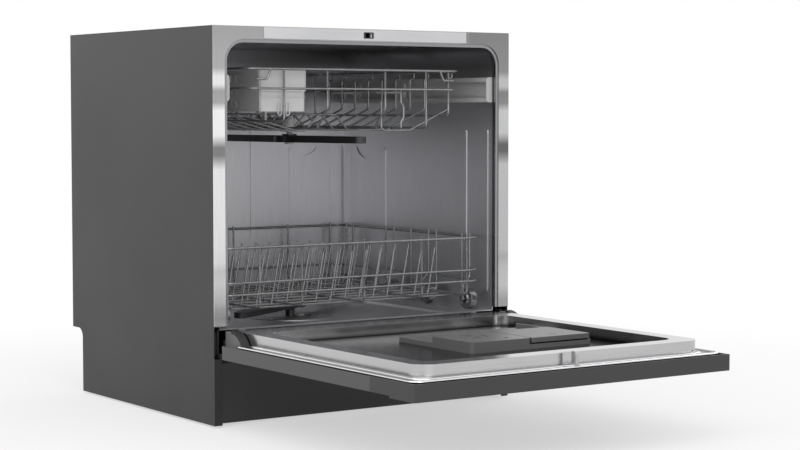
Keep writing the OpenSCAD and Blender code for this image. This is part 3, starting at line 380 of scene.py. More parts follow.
def pressed_liner(name, base):
    """Pressed steel of the door's inner side: full tone on the rim and its outer walls, painted
    shade in the sunk middle and on the flange, and painted shade darkening it at the heel."""
    s = Shader(name)
    grain = s.noise(55, 4, (0.3, 6, 6), 0.7)
    smear = s.noise(7, 3)
    raised = s.clamped((s.axis(2) - SUNK_FLOOR * MM) / 0.006)
    past_side = s.axis(0).maths("ABSOLUTE") - RIM_OUT * MM
    past_front = s.axis(1) * -1 - RIM_FRONT * MM
    past_rim = past_side.maths("MAXIMUM", past_front)
    wall = s.ramp(past_rim * 20 + 0.5, (0.22, 0.0), (0.28, 1.0), (0.51, 1.0), (0.53, 0.0))
    # mask of the rim and its outer walls, kept at full tone; the rest gets painted shade
    bright = raised.maths("MAXIMUM", wall)
    tone = s.shades(s.spread(grain, 0, 0.5) + s.spread(smear, 0, 0.5), base, 0.90, 1.06)
    # painted shade: the sunk middle and the flange made very dark
    painted_shade_tone = s.shades(s.spread(smear, 0, 1), base, 0.05, 0.09)
    # painted shade at the heel
    heel = s.ramp(s.axis(1) * 25 + 0.5, (0, 1.0), (0.2, 1.0), (0.4, 0.12))
    return s.surface({
        "Base Color": s.times(s.mix(bright, painted_shade_tone, tone), heel),
        "Metallic": 1.0,
        "Roughness": s.spread(smear, 0.17, 0.23),
        "Normal": s.bump(grain, 0.04, 0.0002)})


def moulded(name, base, rough, coat=0.0):
    """Moulded plastic with a fine spark-eroded grain."""
    s = Shader(name)
    grain = s.noise(650, 2)
    flow = s.noise(9, 2)
    return s.surface({
        "Base Color": s.shades(s.spread(flow, 0, 1), base, 0.94, 1.05),
        "Roughness": s.spread(grain, rough - 0.05, rough + 0.06),
        "Coat Weight": coat,
        "Normal": s.bump(grain, 0.10, 0.0003)})


def coated_wire(name, base):
    """Nylon-coated wire: satin, with slight pooling of the coat."""
    s = Shader(name)
    pool = s.noise(120, 3)
    return s.surface({
        "Base Color": s.shades(s.spread(pool, 0, 1), base, 0.86, 1.12),
        "Metallic": 0.55,
        "Roughness": s.spread(pool, 0.20, 0.28),
        "Coat Weight": 0.3,
        "Coat Roughness": 0.15,
        "Normal": s.bump(pool, 0.05, 0.0004)})


def plain_rubber(name, base):
    """Matt rubber with a faint bloom."""
    s = Shader(name)
    bloom = s.noise(40, 4)
    return s.surface({
        "Base Color": s.shades(s.spread(bloom, 0, 1), base, 0.8, 1.3),
        "Roughness": s.spread(bloom, 0.55, 0.7),
        "Normal": s.bump(s.noise(900, 2), 0.15, 0.0003)})


def dark_glass(name, base):
    """Dark glossy window with a little haze."""
    s = Shader(name)
    haze = s.noise(30, 3)
    return s.surface({
        "Base Color": s.shades(s.spread(haze, 0, 1), base, 0.9, 1.1),
        "Roughness": s.spread(haze, 0.06, 0.12),
        "Coat Weight": 0.6})


class Finishes:
    """All materials of the object, made once."""

    def __init__(self, tint):
        # painted shade: paint and kick plate are one enamel; the number is how much lightness the
        # painted shade leaves at the foot
        self.paint = painted_sheet("painted_sheet", tint.paint, 0.36)
        self.kick = painted_sheet("kick_plate_finish", tint.paint, 0.75)
        self.skin = painted_sheet("door_skin", tint.skin)
        self.hinge = moulded("hinge_black", tint.hinge, 0.45, coat=0.1)
        self.polish = polished_frame("polished_frame", tint.polish)
        self.strip = brushed_metal("header_strip", tint.strip, 0.34, (0.2, 8, 8), 0.03, 0.5)
        self.tub = tub_steel("tub_steel", tint.tub)
        self.liner = pressed_liner("liner_steel", tint.liner)
        self.bead = brushed_metal("bead_steel", tint.bead, 0.16, (6, 6, 6), 0.02, 1.0, 0.03)
        self.wire = coated_wire("coated_wire", tint.wire)
        self.wheel = brushed_metal("wheel_grey", tint.wheel, 0.22, (3, 3, 3), 0.04, 0.8, 0.03)
        self.tread = brushed_metal("wheel_tread", tint.tread, 0.18, (3, 3, 3), 0.03, 0.7, 0.02)
        self.light_plastic = moulded("light_plastic", tint.light_plastic, 0.42)
        self.grey_plastic = moulded("grey_plastic", tint.grey_plastic, 0.38)
        # painted shade: the door skin's enamel, darker for the shade on the fascia's front
        self.fascia = painted_sheet("fascia_finish", tint.fascia)
        self.black = moulded("black_plastic", tint.black, 0.4, coat=0.1)
        self.rubber = plain_rubber("seal_rubber", tint.rubber)
        self.lip = brushed_metal("lip_steel", tint.lip, 0.25, (6, 6, 6), 0.03, 1.0, 0.03)
        self.zinc = brushed_metal("zinc_plate", tint.zinc, 0.35, (2, 2, 2), 0.08)
        self.white = moulded("white_plastic", tint.white, 0.45)
        self.board = moulded("board_green", tint.board, 0.4)
        self.window = dark_glass("display_window", tint.black)


# ---------------------------------------------------------------- modelling helpers
def deselect():
    """Leaves edit mode and selects nothing."""
    if bpy.context.object and bpy.context.object.mode != "OBJECT":
        bpy.ops.object.mode_set(mode="OBJECT")
    bpy.ops.object.select_all(action="DESELECT")


def make_active(piece):
    """Selects one piece alone and makes it the active one."""
    deselect()
    piece.select_set(True)
    bpy.context.view_layer.objects.active = piece


def in_edit(piece, mode, *steps):
    """Runs bpy.ops steps in edit mode on what is selected of the piece."""
    make_active(piece)
    bpy.ops.object.mode_set(mode="EDIT")
    bpy.ops.mesh.select_mode(type=mode)
    for step in steps:
        step()
    bpy.ops.object.mode_set(mode="OBJECT")


def select_where(piece, test):
    """Selects the faces whose centre and normal pass the test."""
    make_active(piece)
    bpy.ops.object.mode_set(mode="EDIT")
    bpy.ops.mesh.select_mode(type="FACE")
    bpy.ops.mesh.select_all(action="DESELECT")
    bpy.ops.object.mode_set(mode="OBJECT")
    for face in piece.data.polygons:
        face.select = test(face.center, face.normal)


def freeze(piece, name):
    """Puts the piece's place into its mesh and names it."""
    make_active(piece)
    bpy.ops.object.transform_apply(location=True, rotation=True, scale=True)
    piece.name = name
    piece.data.name = name
    return piece


def apply_modifier(piece, kind, **settings):
    """Adds a modifier with its settings and applies it."""
    make_active(piece)
    modifier = piece.modifiers.new(kind.title(), kind)
    for key, value in settings.items():
        setattr(modifier, key, value)
    bpy.ops.object.modifier_apply(modifier=modifier.name)


def smooth(piece, degrees=32):
    """Smooth shading that leaves large faces flat and hard edges sharp."""
    make_active(piece)
    bpy.ops.object.shade_smooth_by_angle(angle=math.radians(degrees))
    apply_modifier(piece, "WEIGHTED_NORMAL", keep_sharp=True, weight=100)


def soften(piece, width, segments=2):
    """Rounds the piece's hard edges by a width in metres and shades it smooth."""
    if width:
        apply_modifier(piece, "BEVEL", width=width, segments=segments, limit_method="ANGLE",
                       angle_limit=math.radians(28), use_clamp_overlap=True,
                       harden_normals=False)
    smooth(piece)


def give(piece, body, material, slot, *nodes):
    """Sets the piece's finish and body, and hides the CAD nodes that it stands in for."""
    piece.data.materials.clear()
    piece.data.materials.append(material)
    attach(piece, body)
    if nodes:
        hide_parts(*nodes)
    return piece


def slot_of(node):
    """The record's material slot of a node."""
    return next(part["material_slot"] for part in frame["record"]["subparts"]
                if part["node"] == node)


def paint_node(node, material):
    """Gives a CAD node that stays as it is its finish."""
    piece = frame["nodes"][node]
    piece.data.materials.clear()
    piece.data.materials.append(material)


def merged_copy(node):
    """A copy of a CAD node with its points merged and its flat faces joined."""
    piece = frame["nodes"][node].copy()
    piece.data = piece.data.copy()
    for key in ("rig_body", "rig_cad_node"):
        del piece[key]
    piece.parent = None
    piece.hide_viewport = piece.hide_render = False
    bpy.context.scene.collection.objects.link(piece)
    piece.name = node + "_finish"
    in_edit(piece, "VERT",
            lambda: bpy.ops.mesh.select_all(action="SELECT"),
            lambda: bpy.ops.mesh.remove_doubles(threshold=2e-6),
            lambda: bpy.ops.mesh.dissolve_limited(angle_limit=math.radians(0.6)))
    return piece


def dressed(node, material, width=0.0, segments=2):
    """A CAD node's copy with its edges rounded and its finish."""
    piece = merged_copy(node)
    soften(piece, width, segments)
    return give(piece, BODY_OF[node], material, slot_of(node), node)


def block(name, low, high):
    """A cube drawn between two corners in millimetres of the frame."""
    low = Vector(low) * MM
    high = Vector(high) * MM
    deselect()
    bpy.ops.mesh.primitive_cube_add(size=1, location=(low + high) / 2)
    piece = bpy.context.object
    piece.scale = high - low
    return freeze(piece, name)


def hole(centre, radius, depth):
    """A drill along X, in millimetres, to cut a hole with."""
    deselect()
    bpy.ops.mesh.primitive_cylinder_add(vertices=16, radius=radius * MM, depth=depth * MM,
                                        location=Vector(centre) * MM,
                                        rotation=(0, math.pi / 2, 0))
    return freeze(bpy.context.object, "hole")


def turned(name, centre, axis, profile, sides=32, hollow=False):
    """A turned piece: a circle that is extruded and scaled along its profile of radius and
    height pairs in millimetres. A hollow one is a ring whose profile closes on itself."""
    axis = Vector(axis)
    radius, height = profile[0]
    place = (Vector(centre) + axis * height) * MM
    deselect()
    bpy.ops.mesh.primitive_circle_add(vertices=sides, radius=radius * MM, location=place,
                                      fill_type="NOTHING" if hollow else "NGON",
                                      rotation=axis.to_track_quat("Z", "Y").to_euler())
    piece = freeze(bpy.context.object, name)
    bpy.ops.object.mode_set(mode="EDIT")
    bpy.ops.mesh.select_mode(type="VERT" if hollow else "FACE")
    bpy.ops.mesh.select_all(action="SELECT")
    stops = profile[1:] + ([profile[0]] if hollow else [])
    for wide, high in stops:
        rise = axis * (high - height) * MM
        bpy.ops.mesh.extrude_region_move(TRANSFORM_OT_translate={"value": rise})
        if wide != radius:
            bpy.ops.transform.resize(value=[wide / radius] * 3)
        radius, height = wide, high
    close_up()
    bpy.ops.object.mode_set(mode="OBJECT")
    return piece


def close_up():
    """Merges doubled points of the mesh in edit mode and turns its faces outwards."""
    bpy.ops.mesh.select_all(action="SELECT")
    bpy.ops.mesh.remove_doubles(threshold=1e-6)
    bpy.ops.mesh.normals_make_consistent(inside=False)


def wire(name, start, steps, radius, sides=10):
    """A bent wire: a disc carried along straight steps (x, y, z) and round bends
    (centre, axis, degrees), all in millimetres."""
    deselect()
    bpy.ops.mesh.primitive_circle_add(
        vertices=sides, radius=radius * MM, fill_type="NGON", location=Vector(start) * MM,
        rotation=Vector(steps[0]).to_track_quat("Z", "Y").to_euler())
    piece = freeze(bpy.context.object, name)
    bpy.ops.object.mode_set(mode="EDIT")
    bpy.ops.mesh.select_all(action="SELECT")
    for step in steps:
        if isinstance(step[0], (int, float)):
            bpy.ops.mesh.extrude_region_move(
                TRANSFORM_OT_translate={"value": Vector(step) * MM})
        else:
            centre, axis, degrees = step
            bpy.ops.mesh.spin(steps=max(3, round(abs(degrees) / 15)), dupli=False,
                              angle=-math.radians(degrees), center=Vector(centre) * MM,
                              axis=axis)
    close_up()
    bpy.ops.object.mode_set(mode="OBJECT")
    return piece


def middle(node):
    """The middle of a CAD node's box in millimetres."""
    low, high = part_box(node)
    return (low + high) / 2 / MM


def move_copy(piece, name, offset, turn=0):
    """A copy with its own mesh, turned about Z by degrees and shifted by millimetres."""
    copy = piece.copy()
    copy.data = piece.data.copy()
    bpy.context.scene.collection.objects.link(copy)
    copy.data.transform(Matrix.Translation(Vector(offset) * MM)
                        @ Matrix.Rotation(math.radians(turn), 4, "Z"))
    copy.name = name
    copy.data.name = name
    return copy


def clear_away(*pieces):
    """Removes the first of a set of pieces once its copies are made."""
    for piece in pieces:
        bpy.data.objects.remove(piece)


def joined(pieces, name):
    """Joins pieces into one."""
    make_active(pieces[0])
    for piece in pieces:
        piece.select_set(True)
    bpy.ops.object.join()
    return freeze(bpy.context.object, name)


def cut(piece, cutters):
    """Cuts other pieces out of this one and removes them."""
    tool = joined(cutters, "cutter")
    apply_modifier(piece, "BOOLEAN", operation="DIFFERENCE", object=tool, solver="EXACT")
    clear_away(tool)


def round_corners(piece, radius):
    """Rounds the four edges that run along Y."""
    in_edit(piece, "EDGE", lambda: bpy.ops.mesh.select_all(action="DESELECT"))
    for edge in piece.data.edges:
        first, last = (piece.data.vertices[i].co for i in edge.vertices)
        edge.select = abs(first.y - last.y) > (first - last).length * 0.9
    in_edit(piece, "EDGE", lambda: bpy.ops.mesh.bevel(offset=radius, segments=6))


def sector(name, centre, x_span, r_span, degrees):
    """A band about an X axis: a rectangle over the centre, spun towards the front."""
    low, high = x_span
    inner, outer = r_span
    deselect()
    bpy.ops.mesh.primitive_plane_add(size=1, location=Vector(
        ((low + high) / 2, centre[1], centre[2] + (inner + outer) / 2)) * MM,
        rotation=(math.pi / 2, 0, 0))
    piece = bpy.context.object
    piece.scale = ((high - low) * MM, (outer - inner) * MM, 1)
    freeze(piece, name)
    in_edit(piece, "FACE",
            lambda: bpy.ops.mesh.select_all(action="SELECT"),
            lambda: bpy.ops.mesh.spin(steps=12, dupli=False, angle=-math.radians(degrees),
                                      center=Vector(centre) * MM, axis=(1, 0, 0)),
            close_up)
    return piece


# ---------------------------------------------------------------- operators
class PieceOperator(bpy.types.Operator):
    """Base of the operators: it holds the finishes, made when first asked for."""
    bl_options = {"REGISTER", "UNDO"}
    made = {}

    @property
    def finish(self):
        if "all" not in self.made:
            self.made["all"] = Finishes(bpy.context.scene.dishwasher_finish)
        return self.made["all"]

    @property
    def detail(self):
        return bpy.context.scene.dishwasher_detail


class DISHWASHER_OT_cabinet(PieceOperator):
    """Painted panels, polished frame, header strip, base and feet"""
    bl_idname = "dishwasher.cabinet"
    bl_label = "Cabinet"

    def execute(self, context):
        f = self.finish
        for node in ("left_side_panel", "right_side_panel", "top_panel"):
            dressed(node, f.paint, self.detail.sheet_edge)
        dressed("kick_plate", f.kick, self.detail.sheet_edge)
        self.back(f)
        self.front(f)
        dressed("front_frame", f.polish, 0.4 * MM)
        dressed("top_trim_strip", f.strip, 0.3 * MM)
        dressed("latch_housing", f.black, 0.2 * MM)
        dressed("base_pan", f.black)
        dressed("feet", f.rubber, 0.4 * MM)
        return {"FINISHED"}

    def back(self, f):
        """The back sheet with a row of sunk screws along its edges."""
        panel = merged_copy("rear_panel")
        columns, rows, half_way = (-258, -86, 86, 258), (584, 130), 350
        spots = [(x, z) for x in columns for z in rows]
        spots += [(x, half_way) for x in (columns[0], columns[-1])]
        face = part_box("rear_panel")[1][1] / MM
        cut(panel, [turned("dish", (x, face, z), (0, 1, 0), [(3.0, -0.9), (5.6, 0.4)], 24)
                    for x, z in spots])
        soften(panel, 0.3 * MM)
        give(panel, BODY_OF["rear_panel"], f.paint, slot_of("rear_panel"), "rear_panel")
        wide = self.detail.screw_head / MM
        head = turned("head", (0, 0, 0), (0, 1, 0),
                      [(wide, -0.9), (wide, -0.35), (wide - 0.9, -0.1)], 24)
        long, short = 2.4, 0.45
        cut(head, [block("bar", (-long, -0.6, -short), (long, 1, short))])
        cut(head, [block("bar", (-short, -0.6, -long), (short, 1, long))])
        smooth(head)
        for number, (x, z) in enumerate(spots):
            screw = move_copy(head, f"back_screw_{number + 1}", (x, face, z))
            give(screw, BODY_OF["rear_panel"], f.zinc, "black_plastic")
        clear_away(head)

    def front(self, f):
        """End caps of the rails, the surround and strike of the latch slot, and the skirt
        under the tub."""
        root = BODY_OF["front_frame"]
        self.rail_caps(f, root)
        self.latch(f, root)
        half_width, front, back, foot, head = 249, 32.9, 34.4, 88, 128.2
        skirt = block("sill_skirt", (-half_width, front, foot), (half_width, back, head))
        select_where(skirt, lambda centre, normal: normal.y < -0.9)
        border = self.detail.skirt_edge
        in_edit(skirt, "FACE", lambda: bpy.ops.mesh.inset(thickness=border, depth=-0.5 * MM))
        soften(skirt, 0.3 * MM)
        give(skirt, root, f.rubber, "black_plastic")

    def rail_caps(self, f, root):
        """A sunk-faced cap on the front end of each side rail."""
        low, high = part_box("upper_rack_rails")
        cap = block("cap", (-7.6, -1.15, low[2] / MM - 0.3), (7.6, 1.15, high[2] / MM + 0.3))
        round_corners(cap, 5.5 * MM)
        select_where(cap, lambda centre, normal: normal.y < -0.9)
        in_edit(cap, "FACE", lambda: bpy.ops.mesh.inset(thickness=1.4 * MM, depth=0),
                lambda: bpy.ops.mesh.inset(thickness=0.4 * MM, depth=-0.5 * MM))
        soften(cap, 0.25 * MM)
        for side, x in (("left", -CAP_OUT), ("right", CAP_OUT)):
            piece = move_copy(cap, f"rail_cap_{side}", (x, CAP_FRONT, 0))
            give(piece, root, f.light_plastic, "light_plastic")
        clear_away(cap)

    def latch(self, f, root):
        """The black surround of the latch slot, and the strike on the slot's right wall."""
        x, z = LATCH
        bezel = block("latch_bezel", (x - 9.2, 12.75, z - 4.8), (x + 9.2, 13.35, z + 4.8))
        cut(bezel, [block("opening", (x - 5.9, 10, z - 3.7), (x + 5.9, 16, z + 3.7))])
        soften(bezel, 0.15 * MM)
        give(bezel, root, f.black, "black_plastic")
        strike = block("latch_strike", (x + 5.15, 13.6, z - 3.6), (x + 5.95, 18.4, z + 3.6))
        soften(strike, 0.15 * MM)
        give(strike, root, f.white, "light_plastic")


class DISHWASHER_OT_tub(PieceOperator):
    """Pressed tub, seal, rails and the water works"""
    bl_idname = "dishwasher.tub"
    bl_label = "Tub and works"

    def execute(self, context):
        f = self.finish
        edge = self.detail.moulding_edge
        dressed("tub", f.tub, 0.5 * MM)
        dressed("door_seal", f.rubber, 0.8 * MM)
        self.lip(f)
        dressed("upper_rack_rails", f.light_plastic, 0.2 * MM)
        dressed("filter_basket", f.zinc)
        dressed("sump", f.black)
        dressed("spray_feed_pipe", f.light_plastic)
        dressed("circulation_pump", f.zinc, edge)
        dressed("drain_pump", f.black, edge)
        dressed("inlet_valve", f.white, edge)
        dressed("drain_spigot", f.black, 0.3 * MM)
        dressed("leak_float", f.white, edge)
        dressed("power_gland", f.black, 0.4 * MM)
        self.threads(f)
        dressed("upper_spray_arm", f.black, 1.2 * MM, 3)
        dressed("lower_spray_arm", f.black, 1.2 * MM, 3)
        return {"FINISHED"}

    def lip(self, f):
        """The folded steel lip in front of the seal: the seal's front, a little thicker."""
        piece = merged_copy("door_seal")
        piece.name = "mouth_lip"
        in_edit(piece, "VERT",
                lambda: bpy.ops.mesh.select_all(action="SELECT"),
                lambda: bpy.ops.mesh.bisect(plane_co=(0, LIP_BACK * MM, 0), plane_no=(0, 1, 0),
                                            use_fill=True, clear_outer=True),
                lambda: bpy.ops.mesh.select_all(action="SELECT"),
                lambda: bpy.ops.transform.shrink_fatten(value=0.00018))
        soften(piece, 0.4 * MM)
        give(piece, BODY_OF["door_seal"], f.lip, slot_of("tub"))

    def threads(self, f):
        """The thread of the inlet's tail and the barbs of the drain's."""
        ridge = turned("ridge", (0, 0, 0), (0, 1, 0), [(12.9, -0.9), (14.0, 0), (12.9, 0.9)],
                       40, True)
        barb = turned("barb", (0, 0, 0), (0, 1, 0), [(11.6, -1.8), (13.0, -1.5), (11.6, 2.4)],
                      40, True)
        smooth(barb)
        smooth(ridge)
        rows = (("inlet_thread", ridge, 5, INLET, 2.3, "inlet_valve", f.white),
                ("drain_barb", barb, 3, DRAIN, 6.2, "drain_spigot", f.black))
        for name, first, count, (x, y, z), pitch, node, material in rows:
            for number in range(count):
                piece = move_copy(first, f"{name}_{number + 1}", (x, y + pitch * number, z))
                give(piece, BODY_OF[node], material, slot_of(node))
        clear_away(ridge, barb)


class DISHWASHER_OT_door(PieceOperator):
    """Door skin, fascia, liner, hinges, dispenser and keys"""
    bl_idname = "dishwasher.door"
    bl_label = "Door"

    def execute(self, context):
        f = self.finish
        dressed("door_panel", f.skin, 0.6 * MM)
        dressed("control_fascia", f.fascia, 0.8 * MM)
        dressed("door_liner", f.liner, self.detail.liner_edge, 3)
        dressed("hinge_arms", f.hinge, 0.3 * MM)
        dressed("hinge_brackets", f.hinge, 0.3 * MM)
        dressed("hinge_shoulders", f.grey_plastic, 1.0 * MM, 3)
        dressed("dispenser_body", f.grey_plastic, 0.8 * MM, 3)
        dressed("dispenser_lid", f.grey_plastic, 0.6 * MM, 3)
        dressed("rinse_aid_cap", f.grey_plastic, 0.5 * MM)
        dressed("latch_hook", f.zinc, 0.2 * MM)
        dressed("display_window", f.window, 0.2 * MM)
        paint_node("control_board", f.board)
        for node in ("power_key", "program_key", "start_key"):
            dressed(node, f.light_plastic, 0.4 * MM)
        self.beads(f)
        self.arches(f)
        self.gauge(f)
        return {"FINISHED"}

    def beads(self, f):
        """The two bright beads that run round the flange of the liner."""
        back, top = -46, 126.2
        detail = self.detail
        runs = (("outer", 268.0, -491.2, 16, detail.outer_bead / MM),
                ("inner", 250.4, -476.4, 20, detail.inner_bead / MM))
        for name, out, front, corner, radius in runs:
            bead = wire(f"liner_bead_{name}", (-out, back, top),
                        [(0, front + corner - back, 0),
                         ((-out + corner, front + corner, top), (0, 0, 1), 90),
                         (2 * (out - corner), 0, 0),
                         ((out - corner, front + corner, top), (0, 0, 1), 90),
                         (0, back - front - corner, 0)], radius, 12)
            smooth(bead, 40)
            give(bead, "door", f.bead, slot_of("door_liner"))

    def arches(self, f):
        """A black arched band in the slot between each hinge shoulder and the liner: painted
        shade for the slot.
        """
        near, far, inner, outer = 249.6, 261.2, 35.4, 40.3
        for side, span in (("left", (-far, -near)), ("right", (near, far))):
            # painted shade: a black band filling the slot
            arch = sector(f"shoulder_slot_shade_{side}", HINGE_AXIS, span, (inner, outer), 86)
            soften(arch, 0.4 * MM)
            give(arch, "door", f.rubber, "black_plastic")

    def gauge(self, f):
        """The rinse aid's sight glass in its ring."""
        spot = (36, -290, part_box("dispenser_body")[1][2] / MM)
        ring = turned("sight_ring", spot, (0, 0, 1),
                      [(4.4, -1.0), (4.4, 0.15), (3.9, 0.4), (3.2, 0.4), (3.2, -1.0)], 32, True)
        smooth(ring)
        give(ring, "door", f.grey_plastic, slot_of("dispenser_body"))
        lens = turned("sight_lens", spot, (0, 0, 1),
                      [(3.3, -0.8), (3.3, -0.1), (2.4, 0.12), (1.0, 0.2)], 32)
        smooth(lens)
        give(lens, "door", f.window, slot_of("display_window"))


class DISHWASHER_OT_racks(PieceOperator):
    """Both wire racks, the wheels, the shoes and the basket"""
    bl_idname = "dishwasher.racks"
    bl_label = "Racks"

    def execute(self, context):
        f = self.finish
        for level in ("lower", "upper"):
            for part in ("front", "back", "left", "right", "floor"):
                dressed(f"{level}_rack_{part}", f.wire)
        dressed("lower_rack_tines", f.wire)
        self.wheels(f)
        self.clips(f)
        dressed("upper_rack_glides", f.light_plastic, 0.2 * MM)
        dressed("cutlery_basket", f.light_plastic, 0.4 * MM)
        return {"FINISHED"}

    def wheels(self, f):
        """One wheel is modelled with its pierced face, grooved tread and dark bearing, and
        copied to each place; the right ones are turned round."""
        detail = self.detail
        away, towards = (-1, 0, 0), (1, 0, 0)
        rim = merged_copy("lower_wheel_1")
        rim.data.transform(Matrix.Translation(-middle("lower_wheel_1") * MM))
        soften(rim, 0.5 * MM)
        face = turned("face", (0, 0, 0), away,
                      [(13.0, 4.1), (13.0, 5.6), (12.3, 6.2), (11.6, 6.2), (11.3, 5.7),
                       (5.2, 5.7), (4.8, 6.4), (2.6, 6.45), (2.2, 5.6)], 48)
        ring = detail.hole_ring / MM
        turns = [math.pi * i / 4 for i in range(8)]
        spots = [(0, math.cos(turn) * ring, math.sin(turn) * ring) for turn in turns]
        cut(face, [hole(spot, detail.wheel_hole / MM, 20) for spot in spots])
        soften(face, 0.12 * MM)
        # painted shade: a black disc just behind the face, so that its holes look dark
        hole_shade_disc = turned("hole_shade_disc", (0, 0, 0), away, [(12.4, 2.0), (12.4, 4.3)])
        soften(hole_shade_disc, 0.1 * MM)
        crest, groove = 16.4, 15.8
        tread = turned("tread", (0, 0, 0), away,
                       [(15.2, -5.6), (crest, -5.0), (crest, -2.4), (groove, -2.1),
                        (groove, -1.5), (crest, -1.2), (crest, 1.2), (groove, 1.5),
                        (groove, 2.1), (crest, 2.4), (crest, 4.2), (15.2, 4.9), (14.0, 5.3),
                        (13.2, 5.6), (13.0, 4.0)], 48, True)
        smooth(tread)
        collar = turned("collar", (0, 0, 0), towards,
                        [(13.6, 2.0), (13.6, 4.8), (12.6, 5.7), (9.4, 6.5), (8.6, 7.4),
                         (7.4, 9.0), (6.4, 9.1), (6.4, 2.0)], 40, True)
        smooth(collar)
        bearing = turned("bearing", (0, 0, 0), towards, [(6.2, 1.0), (6.2, 7.6), (4.6, 8.0)])
        soften(bearing, 0.3 * MM)
        parts = (("rim", rim, f.tread, "wheel"), ("face", face, f.wheel, "wheel"),
                 ("hole_shade_disc", hole_shade_disc, f.black, "black_plastic"),
                 ("tread", tread, f.tread, "wheel"), ("collar", collar, f.tread, "wheel"),
                 ("bearing", bearing, f.black, "black_plastic"))
        for number in range(1, WHEELS + 1):
            node = f"lower_wheel_{number}"
            turn = 180 if number > WHEELS / 2 else 0
            for name, first, material, slot in parts:
                piece = move_copy(first, f"wheel_{name}_{number}", middle(node), turn)
                stood_in_for = [node] if name == "rim" else []
                give(piece, f"wheel_{number}", material, slot, *stood_in_for)
        clear_away(*(first for _, first, _, _ in parts))

    def clips(self, f):
        """Small U-shaped clips on the front of the basket."""
        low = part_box("cutlery_basket")[0] / MM
        arm = 16
        hook = wire("hook", (0, -3.2, arm), [(0, 0, -arm), ((0, 0, 0), (1, 0, 0), 180),
                                             (0, 0, arm)], self.detail.clip_wire / MM)
        smooth(hook, 40)
        for number, along in enumerate((36, 50)):
            piece = move_copy(hook, f"basket_clip_{number + 1}",
                              (low[0] + along, low[1] - 1.2, low[2] + 17), 90)
            give(piece, BODY_OF["cutlery_basket"], f.light_plastic, "light_plastic")
        clear_away(hook)


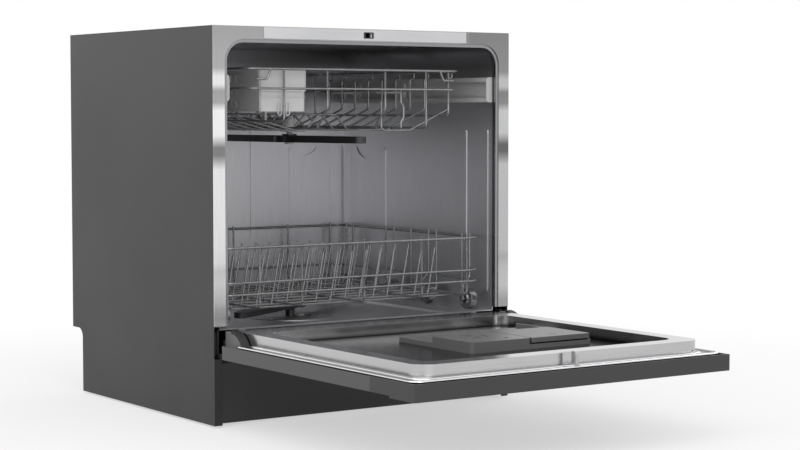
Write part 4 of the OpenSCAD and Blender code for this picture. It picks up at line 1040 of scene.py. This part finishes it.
class DISHWASHER_OT_stage(PieceOperator):
    """White floor, camera, lamps and world"""
    bl_idname = "dishwasher.stage"
    bl_label = "Stage"

    def execute(self, context):
        studio = context.scene.dishwasher_studio
        self.floor()
        self.camera(context, studio)
        self.lamps(studio)
        self.world(context, studio)
        context.scene.view_settings.view_transform = "Standard"
        return {"FINISHED"}

    def floor(self):
        """A white floor that fades into the white world, keeps the shadow and is clear
        from below."""
        deselect()
        bpy.ops.mesh.primitive_plane_add(size=60, location=(0, 0, 0))
        plane = freeze(bpy.context.object, "studio_floor")
        s = Shader("floor_white")
        x, y = s.axis(0), s.axis(1)
        far = ((x * x + y * y).maths("SQRT") - 0.35) / 1.1
        pale = s.node("ShaderNodeBsdfDiffuse", {}, {"Color": rgba(0.9)})[0]
        white = s.node("ShaderNodeEmission", {}, {"Color": rgba(1.0), "Strength": 1.0})[0]
        fade = s.clamped(far) * 0.45 + 0.55
        mixed = s.node("ShaderNodeMixShader", {},
                       {0: s.seen_plainly() * fade, 1: pale, 2: white})[0]
        from_below = s.node("ShaderNodeNewGeometry")[6]
        clear = s.node("ShaderNodeBsdfTransparent")[0]
        seen = s.node("ShaderNodeMixShader", {}, {0: from_below, 1: mixed, 2: clear})[0]
        s.node("ShaderNodeOutputMaterial", {}, {"Surface": seen})
        plane.data.materials.append(s.owner)

    def camera(self, context, studio):
        """The camera at the front left."""
        deselect()
        bpy.ops.object.camera_add(location=studio.eye,
                                  rotation=(math.pi / 2 - studio.dip, 0, -studio.yaw))
        camera = context.object
        camera.name = "studio_camera"
        camera.data.sensor_width = 36
        camera.data.lens = studio.lens
        camera.data.clip_end = 100
        context.scene.camera = camera

    def lamps(self, studio):
        """Big soft boxes over the front left, in front and at each side."""
        target = Vector((0, 0, 0.3))
        boxes = [("key_box", (-1.3, -1.7, 2.6), 2.6, 1.0),
                 ("front_box", (-0.7, -3.4, 0.9), 2.2, 0.55),
                 ("side_box", (-2.8, -0.3, 1.9), 1.8, 0.45),
                 ("rim_box", (2.4, 0.6, 1.6), 1.6, 0.4)]
        for name, place, size, share in boxes:
            deselect()
            aim = target - Vector(place)
            bpy.ops.object.light_add(type="AREA", location=place,
                                     rotation=aim.to_track_quat("-Z", "Y").to_euler())
            lamp = bpy.context.object
            lamp.name = name
            lamp.data.shape = "SQUARE"
            lamp.data.size = size
            lamp.data.energy = studio.key * share

    def world(self, context, studio):
        """An even fill light, and plain white where the world itself is seen."""
        world = bpy.data.worlds.new("studio_world")
        context.scene.world = world
        tree = NodeTree(world)
        fill = tree.node("ShaderNodeBackground", {}, {"Color": rgba(1.0),
                                                      "Strength": studio.world})[0]
        white = tree.node("ShaderNodeBackground", {}, {"Color": rgba(1.0), "Strength": 1.0})[0]
        mixed = tree.node("ShaderNodeMixShader", {},
                          {0: tree.seen_plainly(), 1: fill, 2: white})[0]
        tree.node("ShaderNodeOutputWorld", {}, {"Surface": mixed})


class DISHWASHER_PT_panel(bpy.types.Panel):
    """Lists the operators and the settings"""
    bl_label = "Dishwasher"
    bl_space_type = "VIEW_3D"
    bl_region_type = "UI"
    bl_category = TAB

    def draw(self, context):
        for operator in OPERATORS:
            self.layout.operator(operator.bl_idname)
        scene = context.scene
        for settings in (scene.dishwasher_finish, scene.dishwasher_detail,
                         scene.dishwasher_studio):
            for key in settings.bl_rna.properties.keys():
                if key not in ("rna_type", "name"):
                    self.layout.prop(settings, key)


OPERATORS = (DISHWASHER_OT_cabinet, DISHWASHER_OT_tub, DISHWASHER_OT_door,
             DISHWASHER_OT_racks, DISHWASHER_OT_stage)
CLASSES = (FinishSettings, DetailSettings, StudioSettings, *OPERATORS, DISHWASHER_PT_panel)


def register():
    for kind in CLASSES:
        bpy.utils.register_class(kind)
    bpy.types.Scene.dishwasher_finish = bpy.props.PointerProperty(type=FinishSettings)
    bpy.types.Scene.dishwasher_detail = bpy.props.PointerProperty(type=DetailSettings)
    bpy.types.Scene.dishwasher_studio = bpy.props.PointerProperty(type=StudioSettings)


def unregister():
    del bpy.types.Scene.dishwasher_finish
    del bpy.types.Scene.dishwasher_detail
    del bpy.types.Scene.dishwasher_studio
    for kind in reversed(CLASSES):
        bpy.utils.unregister_class(kind)


def main():
    """Builds every piece."""
    register()
    bpy.ops.dishwasher.cabinet()
    bpy.ops.dishwasher.tub()
    bpy.ops.dishwasher.door()
    bpy.ops.dishwasher.racks()
    bpy.ops.dishwasher.stage()


if __name__ == "__main__":
    main()
